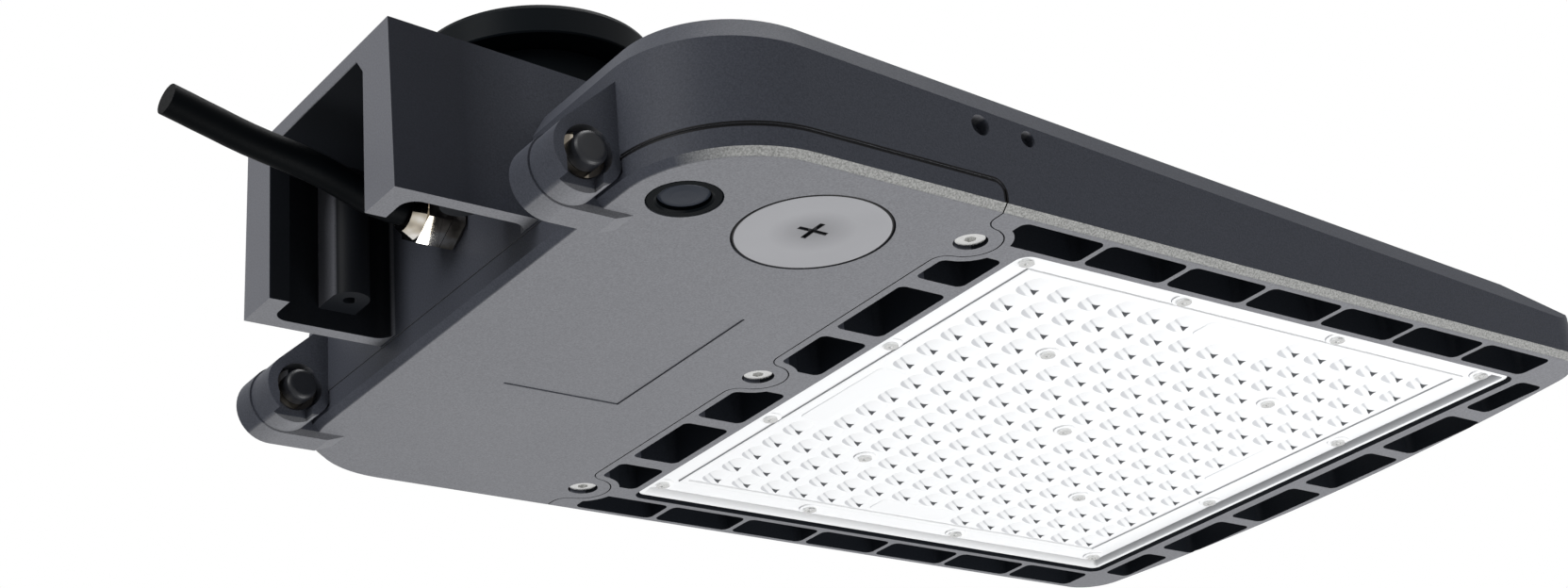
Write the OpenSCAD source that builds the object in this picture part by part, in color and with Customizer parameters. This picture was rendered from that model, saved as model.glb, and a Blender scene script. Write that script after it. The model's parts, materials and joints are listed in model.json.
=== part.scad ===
// Shoebox area light: a die-cast housing with a pole arm, a hinged driver door,
// a clear lens sheet over an LED board, and a twist-lock cap on top.
// Origin: centre of the arm's pole face. +X runs from the pole to the tip,
// +Z is up, and the light shines towards -Z. Millimetres.

/* [Housing] */
// Length of the housing, from its back wall to the middle of the bowed tip
body_l = 434; // [420:1:460]
// Width of the housing
body_w = 296; // [290:1:310]
// Height of the side wall at the pole end
side_h_back = 43; // [42:0.5:48]
// Height of the side wall at the tip
side_h_tip = 15.5; // [15:0.5:18]
// Height of the bevel between the side wall and the top
bevel_h = 9; // [8:0.5:11]
// How far the bevel draws the top in
bevel_in = 4.5; // [3:0.5:6]
// Small chamfer round the underside
chamfer = 2.6; // [1.5:0.1:3]
// Corner radius at the pole end
pole_corner_r = 44.6; // [40:0.5:50]
// Corner radius at the tip
tip_corner_r = 20; // [16:1:24]
// Radius of the bowed tip edge
tip_bow_r = 940; // [800:10:1200]
// Length over which the top slopes down to the tip
nose_l = 54; // [46:1:60]
// Wall of the driver bay and of the top skin
wall = 4; // [3.5:0.1:4.5]
// Width of the rim that the door seals against
rim_w = 6; // [5.5:0.1:6.5]

/* [Arm] */
// Length of the arm, from the pole face to the housing's back wall
arm_l = 52.5; // [48:0.5:60]
// Height of the arm at the pole face
arm_h = 64; // [60:1:70]
// Width of the arm across its top
arm_top_w = 107; // [104:1:110]
// Width of the arm across its open underside
arm_bottom_w = 112; // [111:1:116]
// Thickness of the arm's top plate
arm_plate_t = 5.6; // [5:0.2:7]
// Thickness of the rim block at the pole face, measured along the arm
arm_rim_l = 7.5; // [6:0.5:10]
// Width of the mouth between the rim blocks
arm_mouth_w = 71; // [66:1:74]
// Width of the channel behind the rim blocks
arm_channel_w = 100.6; // [96:0.5:101]
// Length of the raised top that carries the twist-lock socket, from the pole face
hump_l = 142; // [138:1:150]
// Distance of the cover bosses from the pole face
cover_boss_x = 32.6; // [28:0.2:36]
// Distance between the two cover bosses
cover_boss_gap = 80; // [78:1:82]
// Radius of a cover boss
cover_boss_r = 7; // [6:0.5:8]
// Radius of the tapped hole in a cover boss
cover_hole_r = 2.5; // [2:0.1:3]
// Depth of the tapped hole in a cover boss
cover_hole_l = 14; // [10:1:18]
// Depth of the cover recess above the arm's lower edge
cover_recess = 7.5; // [6:0.5:9]

/* [Door] */
// Depth of the door, from the underside to the seam
door_depth = 10.6; // [10:0.1:12]
// Distance from the back wall to the door's front edge
door_l = 122; // [120:0.5:126]
// Thickness of the door's floor
door_floor = 3; // [2.5:0.1:3.5]
// Gap of the seam round the door
seam = 0.5; // [0.3:0.1:0.8]
// Radius of a screw tab
tab_r = 11.5; // [11:0.5:12.5]
// Distance of a screw tab's centre in front of the door's edge
tab_out = 3.5; // [3:0.5:5]
// Radius of the blend between a tab and the door's edge
tab_blend_r = 6; // [5:0.5:7]
// Distance of the outer screw tabs from the housing's sides
tab_in = 24; // [23:0.5:26]
// Depth of the counterbore in a screw tab
tab_bore_h = 4; // [3.5:0.5:5]
// Length of a door screw's shank
door_screw_l = 12; // [10:0.5:12.5]
// Length of the shallow recess in the door
recess_l = 49; // [40:1:52]
// Width of the shallow recess
recess_w = 84; // [70:1:90]
// Depth of the shallow recess
recess_d = 0.6; // [0.4:0.1:1]
// Width of the door's seal
seal_w = 2.6; // [2:0.1:3]

/* [Hinge] */
// Distance of the hinge axis from the pole face
hinge_x = 41.1; // [40:0.1:42]
// Radius of a hinge ear
ear_r = 12.6; // [12:0.1:12.8]
// Width of a hinge ear
ear_w = 14.5; // [12:0.5:16]
// Radius of a door knuckle
knuckle_r = 13.2; // [12.9:0.1:13.6]
// Width of a door knuckle
knuckle_w = 11.5; // [10:0.5:13]
// Distance of the button side's hinge ear from the housing's side
hinge_near_in = 42.4; // [41:0.2:44]
// Distance of the other hinge ear from the housing's other side
hinge_far_in = 50.4; // [49:0.2:52]
// Radius of the hinge pin
pin_r = 6; // [5:0.25:6.5]
// How far the pin's domed end stands out of the ear
pin_out = 2.9; // [2:0.1:4]
// Radius of the pocket round the pin
pocket_r = 8.8; // [8.2:0.1:9.5]
// Depth of the pocket round the pin
pocket_d = 5; // [4:0.5:7]
// Width of the pocket's open foot
pocket_foot_w = 13; // [10:0.5:15]

/* [Lens tray] */
// Distance from the back wall to the tray
tray_x = 148.8; // [147:0.1:150]
// Length of the tray
tray_l = 255; // [250:1:258]
// Width of the bar between the side slots and the tray
tray_bar = 2.9; // [2.5:0.1:4]
// Corner radius of the tray
tray_r = 5; // [3:0.5:8]
// Height of the tray's floor above the underside
tray_h = 9.5; // [9:0.1:10.5]
// Gap between the tray and the lens sheet
lens_gap = 0.8; // [0.5:0.1:1.5]
// Thickness of the lens sheet
lens_t = 2.2; // [1.8:0.1:2.6]
// Height of the lens sheet's face above the underside
lens_h = 4.2; // [4:0.1:4.5]
// Height of the sheet's raised border
border_t = 1; // [0.6:0.1:1.5]
// Width of each strip of the raised border
border_w = 3.4; // [2.5:0.1:4]
// Least distance from the tray's edge to the middle of the outermost lenses
field_in = 24; // [23:0.5:25]
// Lens pitch along the housing
pitch_x = 14.5; // [13.8:0.1:14.6]
// Lens pitch across the housing
pitch_y = 14.2; // [13.8:0.1:14.6]
// Radius of a lens lobe at its foot
lobe_r = 5; // [4.4:0.1:5.2]
// Radius of a lens lobe at its crown
lobe_top_r = 3.2; // [2.5:0.1:3.6]
// Height of a lens lobe
lobe_h = 2.4; // [2:0.1:2.8]
// Distance of each lobe from the middle of its lens
lobe_off = 1.9; // [1.5:0.1:2]
// Thickness of the LED board
board_t = 1.6; // [1.2:0.1:2]
// Width of the lens seal
lens_seal_w = 4; // [3:0.5:5]

/* [Slots] */
// Width of the long side slots
slot_w = 15.8; // [14:0.2:16.2]
// Number of slots along each side
side_slots = 7; // [5:1:9]
// Width of the bars between the side slots
side_bar = 2.3; // [2:0.1:4]
// Wall outside the side slots
slot_wall = 4.8; // [4.5:0.1:5.5]
// Corner radius of a slot
slot_r = 3; // [2:0.5:4]
// Width of the slots at the pole end of the tray
pole_slot_w = 20.6; // [18:0.2:21]
// Width of the slots at the tip
tip_slot_w = 19; // [15:0.5:19.5]
// Number of straight slots at the tip
tip_slots = 4; // [3:1:5]
// Width of the bars between the slots at the tip
tip_bar = 6.5; // [4:0.5:8]

/* [Fins] */
// Number of channels between the cooling fins
fin_gaps = 18; // [10:1:20]
// Thickness of a cooling fin
fin_t = 3; // [2.5:0.5:4]
// Height of the channels' floor above the underside
fin_floor = 16; // [15.5:0.5:17]

/* [Sensor plug] */
// Place of the plug along the housing, from the back wall
plug_x = 73.5; // [71:0.5:80]
// Distance of the plug's centre from the housing's side
plug_in = 42; // [41:0.5:48]
// Radius of the plug's flange
plug_r = 27; // [24:0.5:28]
// Thickness of the plug's flange
plug_t = 2; // [1.8:0.1:2.4]
// Thickness of the plug's seal under its flange
plug_seal_t = 0.4; // [0.4:0.1:0.6]
// Radius of the plug's neck
plug_neck_r = 22; // [18:0.5:22.5]
// Width of the collar's land that the plug's lugs lock over
plug_land = 2.6; // [2:0.1:3]
// Arm length of the cross slot
cross_l = 11.5; // [9:0.5:14]
// Width of the cross slot
cross_w = 2; // [1.5:0.1:2.5]

/* [Push button] */
// Place of the button along the housing, from the back wall
button_x = 22.2; // [22:0.2:26]
// Distance of the button's centre from the housing's side
button_in = 40.5; // [38:0.5:48]
// Radius of the button's ring
bezel_r = 12.6; // [11:0.2:13]
// Thickness of the ring's flange
bezel_t = 2; // [1.8:0.1:2.4]
// Radius of the button's cap
button_r = 8.6; // [7:0.2:9]
// Travel of the button
button_travel = 2; // [1:0.25:2.5]

/* [Twist-lock socket] */
// Distance of the socket's centre from the pole face
socket_x = 88; // [86:0.5:92]
// How far the socket's level pad lies below the arm's top at the pole face
pad_drop = 1.5; // [0:0.5:2.5]
// Radius of the socket's foot
socket_foot_r = 38; // [36:0.5:39]
// Radius of the circle on which the socket's screws stand
socket_screw_r = 27; // [26:0.5:28]
// Length of a socket screw's shank
socket_screw_l = 10; // [8:0.5:11]
// Radius of the hole for the socket's wires
socket_hole_r = 14; // [12:0.5:16]
// Radius of the socket
socket_r = 34; // [32:0.5:35]
// Height of the socket above its pad
socket_h = 21; // [18:0.5:24]
// Radius of the cap
cap_r = 45; // [42:0.5:46]
// Height of the cap
cap_h = 12.6; // [10:0.2:20]
// Radius of the circle on which the blades stand
blade_ring_r = 17; // [15:0.5:20]
// Length of a blade
blade_l = 12; // [10:0.5:14]
// Angle that the cap turns through to unlock
twist = 15; // [10:1:20]

/* [Cable] */
// Diameter of the cable
cable_d = 11; // [10:0.2:11]
// Height of the gland's axis above the underside
gland_h = 36.4; // [35:0.2:37]
// Radius of the gland's thread
gland_r = 8; // [7.6:0.1:8.5]
// Width across the flats of the gland's hexagons
gland_flat = 20; // [19:0.5:22]

/* [Driver] */
// Length of the driver's case, across the housing
driver_l = 170; // [150:5:175]
// Width of the driver's case, along the housing
driver_w = 66; // [60:1:68]
// Height of the driver's case
driver_h = 24; // [20:1:25]

/* [Hidden] */
$fn = 48;
eps = 0.01;                         // overshoot of a cut
big = 1000;                         // longer than the whole object
clear = 0.05;                       // running clearance on a radius
fit_gap = 0.3;                      // gap between pieces that move past each other

body_x = arm_l;                     // back wall
tip_x = body_x + body_l;            // middle of the bowed tip
bottom_z = -arm_h/2 - 0.9 - door_depth;
slope = (side_h_back - side_h_tip)/body_l;
pitch = atan(slope);                // angle of the sloping top
door_x = body_x + door_l;           // the door's front edge
tab_x = door_x + tab_out;
tab_ys = [tab_in - body_w/2, 0, body_w/2 - tab_in];
bay_x1 = door_x - rim_w;            // front wall of the driver bay
seal_in = 1.2;                      // from the bay's edge to the seal
seam_corner_r = 4.5;                // of the seam on the housing's sides
tray_x0 = body_x + tray_x;
tray_w = body_w - 2*(slot_wall + slot_w + tray_bar);
tray_mid = tray_x0 + tray_l/2;
lens_l = tray_l - 2*lens_gap;
lens_w = tray_w - 2*lens_gap;
hinge_z = door_depth;               // above the underside
hinge_y = [hinge_near_in - body_w/2, body_w/2 - hinge_far_in];
button_pos = [body_x + button_x, button_in - body_w/2];
gland_z = bottom_z + gland_h;

// Heights of the side wall and of the top at x
function side_z(x) = side_h_back - slope*(x - body_x);
function top_z(x) = side_z(x) + bevel_h;
// Height of the arm's sloping top at x
function arm_top_z(x) = arm_h + 0.9 + door_depth - slope*x;

pad_h = arm_top_z(0) - pad_drop;    // socket's level pad, above the underside
cap_z = pad_h + socket_h + 0.6;     // underside of the cap, above the underside
socket_screw_a = [60, 180, 300];    // angles of the socket's screws

cast_grey = [0.30, 0.31, 0.34];
steel = [0.80, 0.81, 0.82];
black = [0.06, 0.06, 0.07];
clear_white = [0.93, 0.95, 0.97, 0.6];

// Moves a shape drawn above the underside to its place
module lower() translate([0, 0, bottom_z]) children();

// A prism across the housing from a profile of x and height
module across(width) rotate([90, 0, 0]) translate([0, 0, -width/2]) linear_extrude(width) children();

// A flat rectangle with round corners, from x0 to x1 and y0 to y1
module round_rect(x0, x1, y0, y1, r) {
    translate([x0 + r, y0]) square([x1 - x0 - 2*r, y1 - y0]);
    translate([x0, y0 + r]) square([x1 - x0, y1 - y0 - 2*r]);
    for (x = [x0 + r, x1 - r], y = [y0 + r, y1 - r])
        translate([x, y]) circle(r);
}

// Centres of the outline's round corners
pole_corner = [body_x + pole_corner_r, body_w/2 - pole_corner_r];
tip_corner = [tip_x - tip_bow_r + sqrt(pow(tip_bow_r - tip_corner_r, 2) - pow(body_w/2 - tip_corner_r, 2)),
              body_w/2 - tip_corner_r];
bow_angle = asin(tip_corner[1]/(tip_bow_r - tip_corner_r));

// A quarter or less of a cone: its radius goes from r0 at z0 to r1 at z1
module turned_edge(centre, r0, r1, z0, z1, from, angle)
    translate([centre[0], centre[1], 0]) rotate(from) rotate_extrude(angle = angle)
        polygon([[0, z0], [r0, z0], [r1, z1], [0, z1]]);

// The housing's outline from z0 to z1, drawn in by in0 at its foot and by in1 at its head
module tier(z0, z1, in0, in1) {
    w0 = body_w/2 - in0;
    w1 = body_w/2 - in1;
    // middle, between the corner centres
    translate([pole_corner[0], 0, 0]) rotate([90, 0, 90]) linear_extrude(tip_corner[0] - pole_corner[0])
        polygon([[-w0, z0], [w0, z0], [w1, z1], [-w1, z1]]);
    // pole end, between the corners
    across(2*pole_corner[1])
        polygon([[body_x + in0, z0], [pole_corner[0], z0], [pole_corner[0], z1], [body_x + in1, z1]]);
    for (side = [0, 1]) mirror([0, side, 0]) {
        turned_edge([pole_corner[0], -pole_corner[1]],
                    pole_corner_r - in0, pole_corner_r - in1, z0, z1, 180, 90);
        turned_edge([tip_corner[0], -tip_corner[1]],
                    tip_corner_r - in0, tip_corner_r - in1, z0, z1, -90, 90 - bow_angle);
    }
    // bowed tip, without the part of its sector that lies behind the corners
    difference() {
        for (side = [0, 1]) mirror([0, side, 0])
            turned_edge([tip_x - tip_bow_r, 0], tip_bow_r - in0, tip_bow_r - in1, z0, z1, 0, bow_angle);
        translate([-big, -big, z0 - 1]) cube([big + tip_corner[0], 2*big, z1 - z0 + 2]);
    }
}

// Sloping top with its bevel, drawn level and then tipped towards the tip
module top_form() translate([body_x, 0, side_h_back]) rotate([0, pitch, 0]) {
    low = -8;                       // the bevel runs on below the side wall's edge
    out = -low*bevel_in/bevel_h;
    w = body_w/2;
    r = pole_corner_r;
    y = pole_corner[1];
    translate([r, 0, 0]) rotate([90, 0, 90]) linear_extrude(body_l)
        polygon([[-w - out, low], [w + out, low], [w - bevel_in, bevel_h], [bevel_in - w, bevel_h]]);
    across(2*y) polygon([[-out, low], [r, low], [r, bevel_h], [bevel_in, bevel_h]]);
    for (side = [-1, 1])
        turned_edge([r, side*y], r + out, r - bevel_in, low, bevel_h, side > 0 ? 90 : 180, 90);
}

// The outer form of the housing and the door together
module body_form() lower() {
    tier(0, chamfer, chamfer, 0);
    intersection() {
        tier(chamfer, side_h_back + bevel_h + 5, 0, 0);
        union() {
            top_form();
            // all that lies below the bevel
            across(2*body_w)
                polygon([[0, chamfer], [big, chamfer], [big, side_z(big) - 7.5], [0, side_z(0) - 7.5]]);
        }
        // nose
        across(2*body_w) polygon([[0, 0], [tip_x + 1, 0], [tip_x + 1, side_h_tip - 0.3], [tip_x, side_h_tip],
            [tip_x - nose_l, top_z(tip_x - nose_l)], [tip_x - nose_l - 20, 100], [0, 100]]);
    }
}

// Plan of the door: everything behind its front edge, with three round tabs
module door_plan(grow) {
    edge = door_x + grow;
    r = tab_r + grow;
    blend = tab_blend_r - grow;
    reach = sqrt(pow(r + blend, 2) - pow(tab_x - edge - blend, 2));
    translate([-100, -body_w]) square([100 + edge, 2*body_w]);
    for (y = tab_ys) translate([0, y]) {
        translate([tab_x, 0]) circle(r);
        difference() {
            polygon([[edge - 1, -reach], [edge + blend, -reach], [tab_x, 0],
                     [edge + blend, reach], [edge - 1, reach]]);
            for (side = [-1, 1]) translate([edge + blend, side*reach]) circle(blend);
        }
    }
}

// Rounds the door's upper front corner where the seam shows on the housing's sides
module corner_fill(grow) for (side = [-1, 1])
    translate([0, side*(body_w/2 - 4), 0]) across(8 + 2*eps) difference() {
        r = seam_corner_r;
        translate([door_x - r, door_depth - r]) square([r + 1, r + 1]);
        translate([door_x - r, door_depth - r]) circle(r - grow);
    }

// Plan of the driver bay, drawn in by inset
module bay_plan(inset)
    round_rect(body_x + rim_w + inset, bay_x1 - inset, -body_w/2 + rim_w + inset,
               body_w/2 - rim_w - inset, pole_corner_r - rim_w - inset);

// Plan of one housing slot
module slot(x0, x1, y0, y1) round_rect(x0, x1, y0, y1, slot_r);

// All slots round the lens tray
module slots() {
    y_out = body_w/2 - slot_wall;
    first = door_x + 11;
    step = (tray_x0 + tray_l - 2 - first + side_bar)/side_slots;
    difference() {
        union() {
            for (side = [-1, 1], k = [0 : side_slots - 1]) {
                y0 = side > 0 ? y_out - slot_w : -y_out;
                slot(first + k*step, first + (k + 1)*step - side_bar, y0, y0 + slot_w);
            }
            x0 = door_x + 3;
            for (side = [-1, 1], span = [[10, 41], [48, 86.5], [94, body_w/2 - 31]]) {
                a = min(side*span[0], side*span[1]);
                slot(x0, x0 + pole_slot_w, a, a + span[1] - span[0]);
            }
            x1 = tip_x - 6;
            tip_end = body_w/2 - 62.25;
            tip_step = (2*tip_end + tip_bar)/tip_slots;
            for (k = [0 : tip_slots - 1]) {
                y0 = k*tip_step - tip_end;
                slot(x1 - tip_slot_w, x1, y0, y0 + tip_step - tip_bar);
            }
            corner_mid = body_w/2 - 39.5;
            for (side = [-1, 1])
                slot(x1 - tip_slot_w - 1, x1 - 6.5, side*corner_mid - 14.5, side*corner_mid + 14.5);
        }
        door_plan(3.2);
    }
}

// One hinge ear of the housing, its near face at y = 0
module ear() {
    lean = 132;
    x1 = body_x + 2;
    start = [hinge_x + ear_r*cos(lean), hinge_z + ear_r*sin(lean)];
    rise = (x1 - start[0])*tan(lean - 90);
    difference() {
        translate([0, ear_w/2, 0]) across(ear_w) {
            translate([hinge_x, hinge_z]) circle(ear_r);
            polygon([start, [x1, start[1] + rise], [x1, hinge_z + 0.9], [hinge_x, hinge_z + 0.9]]);
        }
        translate([hinge_x, -eps, hinge_z]) rotate([-90, 0, 0]) cylinder(h = big, r = pin_r + clear);
        translate([hinge_x, -eps, hinge_z]) rotate([-90, 0, 0]) cylinder(h = pocket_d + eps, r = pocket_r);
        translate([hinge_x - pocket_foot_w/2 - 1.5, -eps, hinge_z - 2*ear_r])
            cube([pocket_foot_w, pocket_d + eps, 2*ear_r]);
    }
}

// The outside of the arm and of the raised top behind it
module arm_form() intersection() {
    rotate([90, 0, 90]) linear_extrude(hump_l + 20) polygon([
        [-arm_bottom_w/2, -arm_h/2], [arm_bottom_w/2, -arm_h/2],
        [arm_top_w/2, arm_h/2 + 0.5], [-arm_top_w/2, arm_h/2 + 0.5]]);
    lower() across(body_w) polygon([
        [0, door_depth + 0.9], [0, arm_top_z(0)], [hump_l - 8, arm_top_z(hump_l - 8)],
        [hump_l, arm_top_z(hump_l) - 6], [hump_l + 12, top_z(hump_l) - 2],
        [body_x + 1, top_z(hump_l) - 2], [body_x + 1, door_depth + 0.9]]);
}

// Everything that is hollow inside the arm
module arm_channel() {
    mouth = arm_mouth_w/2;
    ceiling = arm_h/2 - arm_plate_t;
    boss_z = -arm_h/2 + cover_recess;
    difference() {
        intersection() {
            union() {
                rotate([90, 0, 90]) translate([0, 0, -1]) linear_extrude(body_x + 1)
                    polygon([[-mouth, -arm_h], [mouth, -arm_h], [mouth, ceiling - 6], [mouth - 4.5, ceiling],
                             [4.5 - mouth, ceiling], [-mouth, ceiling - 6]]);
                linear_extrude(big, center = true)
                    round_rect(arm_rim_l, body_x, -arm_channel_w/2, arm_channel_w/2, 6);
            }
            lower() across(body_w) polygon([
                [-2, 0], [body_x, 0], [body_x, arm_top_z(body_x) - arm_plate_t],
                [-2, arm_top_z(-2) - arm_plate_t]]);
        }
        for (side = [-1, 1]) translate([cover_boss_x, side*cover_boss_gap/2, boss_z]) difference() {
            union() {
                cylinder(h = arm_h, r = cover_boss_r);
                translate([-cover_boss_r, side > 0 ? 0 : -20, 0]) cube([2*cover_boss_r, 20, arm_h]);
            }
            translate([0, 0, -eps]) cylinder(h = cover_hole_l, r = cover_hole_r);
        }
    }
}

// Everything that is hollow in the driver bay and under the raised top
module bay() lower() {
    difference() {
        intersection() {
            translate([0, 0, -1]) linear_extrude(100) bay_plan(0);
            across(body_w) polygon([
                [body_x, -1], [bay_x1, -1], [bay_x1, top_z(bay_x1) - wall], [body_x, top_z(body_x) - wall]]);
        }
        bay_bosses();
    }
    translate([0, 0, 20]) intersection() {
        linear_extrude(60) round_rect(body_x + rim_w, hump_l - 12, -arm_top_w/2 + 5, arm_top_w/2 - 5, 6);
        translate([0, 0, -20]) across(body_w) polygon([
            [body_x, 0], [hump_l, 0],
            [hump_l, arm_top_z(hump_l) - wall - 4], [body_x, arm_top_z(body_x) - wall - 4]]);
    }
}

// Places of the driver, surge protector and terminal block: [x, y, foot height]
driver_pos = [bay_x1 - 6 - driver_w, body_w/2 - rim_w - 30 - driver_l, 12];
surge_pos = [body_x + 12, body_w/2 - rim_w - 82, 15];
surge_size = [26, 50, 23];
terminal_pos = [body_x + 14, button_pos[1] + 9.5, 22];
terminal_size = [18, 42, 16];
boss_r = 4.5;
screw_r = 1.8;
driver_feet = [for (dx = [12, driver_w - 12], dy = [-5, driver_l + 5])
               [driver_pos[0] + dx, driver_pos[1] + dy, driver_pos[2] + driver_h]];
surge_feet = [for (dy = [-5, surge_size[1] + 5])
              [surge_pos[0] + surge_size[0]/2, surge_pos[1] + dy, surge_pos[2] + surge_size[2]]];
terminal_mid = terminal_pos[0] + terminal_size[0]/2;
terminal_top = terminal_pos[2] + terminal_size[2];
terminal_feet = [for (dy = [8, terminal_size[1] - 8]) [terminal_mid, terminal_pos[1] + dy, terminal_top]];

// Bosses that hang from the bay's ceiling
module bay_bosses() for (foot = concat(driver_feet, surge_feet, terminal_feet))
    translate(foot) difference() {
        cylinder(h = 30, r = boss_r);
        translate([0, 0, -eps]) cylinder(h = 30, r = screw_r);
    }

// Path for the LED leads from the bay to the tray
lead_y = 44.5;
lead_h = 13;
lead_r = 2;
lead_x1 = tray_x0 + 12;
module lead_path() lower() {
    translate([bay_x1 - 1, lead_y, lead_h]) rotate([0, 90, 0]) cylinder(h = lead_x1 - bay_x1 + 1, r = lead_r);
    translate([lead_x1, lead_y, tray_h - 1]) cylinder(h = lead_h - tray_h + 1, r = lead_r);
}

// Places of the lens screws: round the border, and in the lens field
lens_edge = 9.5;
field_screw = 4;                    // rows from the middle to the field's screws
lens_end_x = [tray_x0 + lens_edge, tray_x0 + tray_l - lens_edge];
lens_side_y = [-tray_w/2 + lens_edge, tray_w/2 - lens_edge];
lens_screw_xy = concat(
    [for (x = lens_end_x, y = lens_side_y) [x, y]],
    [for (x = [tray_mid - 3*pitch_x, tray_mid + 2.5*pitch_x], y = lens_side_y) [x, y]],
    [for (x = lens_end_x, y = [-2.7*pitch_y, 2.7*pitch_y]) [x, y]],
    [for (i = [-1, 1], j = [-1, 1]) [tray_mid + i*field_screw*pitch_x, j*field_screw*pitch_y]],
    [[tray_mid, 0]]);
lens_hole_r = 1.7;
post_r = 3.2;                       // posts that carry the sheet at its screws

// Tapped holes in each side wall for an accessory: [x, height, radius, depth]
side_holes = [[door_x - 7.5, 29.8, 3.8, 5], [door_x + 13, 29.5, 3, slot_wall - 1]];

// The whole casting. It is drawn as one piece and parted into four nodes that meet face to face
module casting() difference() {
    union() {
        difference() {
            union() {
                body_form();
                arm_form();
                lower() translate([socket_x, 0, pad_h - 34]) cylinder(h = 34, r = socket_foot_r + 1);
            }
            lower() difference() {
                translate([0, 0, -eps]) linear_extrude(door_depth + eps) door_plan(0);
                corner_fill(0);
            }
            bay();
            arm_channel();
            // room for the door's knuckles
            for (y = hinge_y) lower() translate([hinge_x, y + ear_w - fit_gap, hinge_z])
                rotate([-90, 0, 0]) cylinder(h = knuckle_w + 1 + 2*fit_gap, r = knuckle_r + 0.8);
        }
        lower() for (y = hinge_y) translate([0, y, 0]) ear();
        // bosses for the captive door screws
        lower() for (y = tab_ys) translate([tab_x, y, door_depth]) cylinder(h = 10, r = tab_r + 1);
    }
    // tapped holes for the door screws
    lower() for (y = tab_ys) translate([tab_x, y, 0]) cylinder(h = tab_bore_h + door_screw_l + 3.6, r = 3.4);
    // lens tray, with a post at each lens screw
    lower() difference() {
        translate([0, 0, -eps]) linear_extrude(tray_h + eps)
            round_rect(tray_x0, tray_x0 + tray_l, -tray_w/2, tray_w/2, tray_r);
        for (p = lens_screw_xy) translate([p[0], p[1], lens_h + lens_t]) cylinder(h = tray_h, r = post_r);
    }
    lower() for (p = lens_screw_xy) translate([p[0], p[1], 0]) cylinder(h = tray_h + 4, r = lens_hole_r);
    // slots, right through
    lower() translate([0, 0, -1]) linear_extrude(100) slots();
    // channels between the fins
    step = (tray_w - 4 + fin_t)/fin_gaps;
    lower() for (k = [0 : fin_gaps - 1])
        translate([tray_x0 + 6, -tray_w/2 + 2 + k*step, fin_floor]) cube([tray_l - 10, step - fin_t, 60]);
    // side holes
    for (side = [-1, 1], h = side_holes) lower() translate([h[0], side*(body_w/2 + eps), h[1]])
        rotate([side*90, 0, 0]) cylinder(h = h[3] + eps, r = h[2]);
    // gland and lead passages
    translate([body_x - 1, 0, gland_z]) rotate([0, 90, 0]) cylinder(h = rim_w + 2, r = gland_r + clear);
    lead_path();
    // receptacle: cable hole and screw holes
    lower() translate([socket_x, 0, pad_h - 24]) cylinder(h = 40, r = socket_hole_r);
    lower() for (a = socket_screw_a) rotate_about([socket_x, 0], a)
        translate([socket_x + socket_screw_r, 0, pad_h + 5 - socket_screw_l - 1]) cylinder(h = 8, r = 1.7);
}

// The slice of the casting between x0 and x1
module slice(x0, x1) intersection() {
    casting();
    translate([x0, -big, -big]) cube([x1 - x0, 2*big, 2*big]);
}

// The stretch of each side wall that carries the side holes
module side_stretch() for (side = [0, 1]) mirror([0, side, 0])
    translate([side_holes[0][0] - 12, body_w/2 - rim_w, -big])
        cube([side_holes[1][0] - side_holes[0][0] + 24, big, 2*big]);

part_x = bay_x1 + 4;                // between the bay's front wall and the tray
arm_side = arm_bottom_w/2 + 1;      // beyond the arm's sides

module housing() color(cast_grey) difference() {
    slice(-big, part_x);
    translate([-big, -arm_side, -big]) cube([big + body_x, 2*arm_side, 2*big]);
    side_stretch();
}

module pole_arm() color(cast_grey) intersection() {
    slice(-big, body_x);
    translate([-big, -arm_side, -big]) cube([2*big, 2*arm_side, 2*big]);
}

module led_tray() color(cast_grey) difference() {
    slice(part_x, big);
    side_stretch();
}

module side_bosses() color(cast_grey) intersection() {
    casting();
    side_stretch();
}

// Turns a shape about an upright axis
module rotate_about(centre, angle) translate([centre[0], centre[1], 0]) rotate(angle)
    translate([-centre[0], -centre[1], 0]) children();

collar_h = 6.4;                     // height of the collar round the plug
lug_angle = 30;
module plug_lugs(turn, reach, angle) for (a = [turn, turn + 180])
    sector(plug_neck_r - 1, plug_neck_r + reach, a - angle/2, a + angle/2);

plug_pos = [body_x + plug_x, plug_in - body_w/2];
stem_r = 3;                         // stem of the push button
spring_z = 7;                       // inner face of the push button
switch_z = 11;                      // foot of the switch behind it

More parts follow.
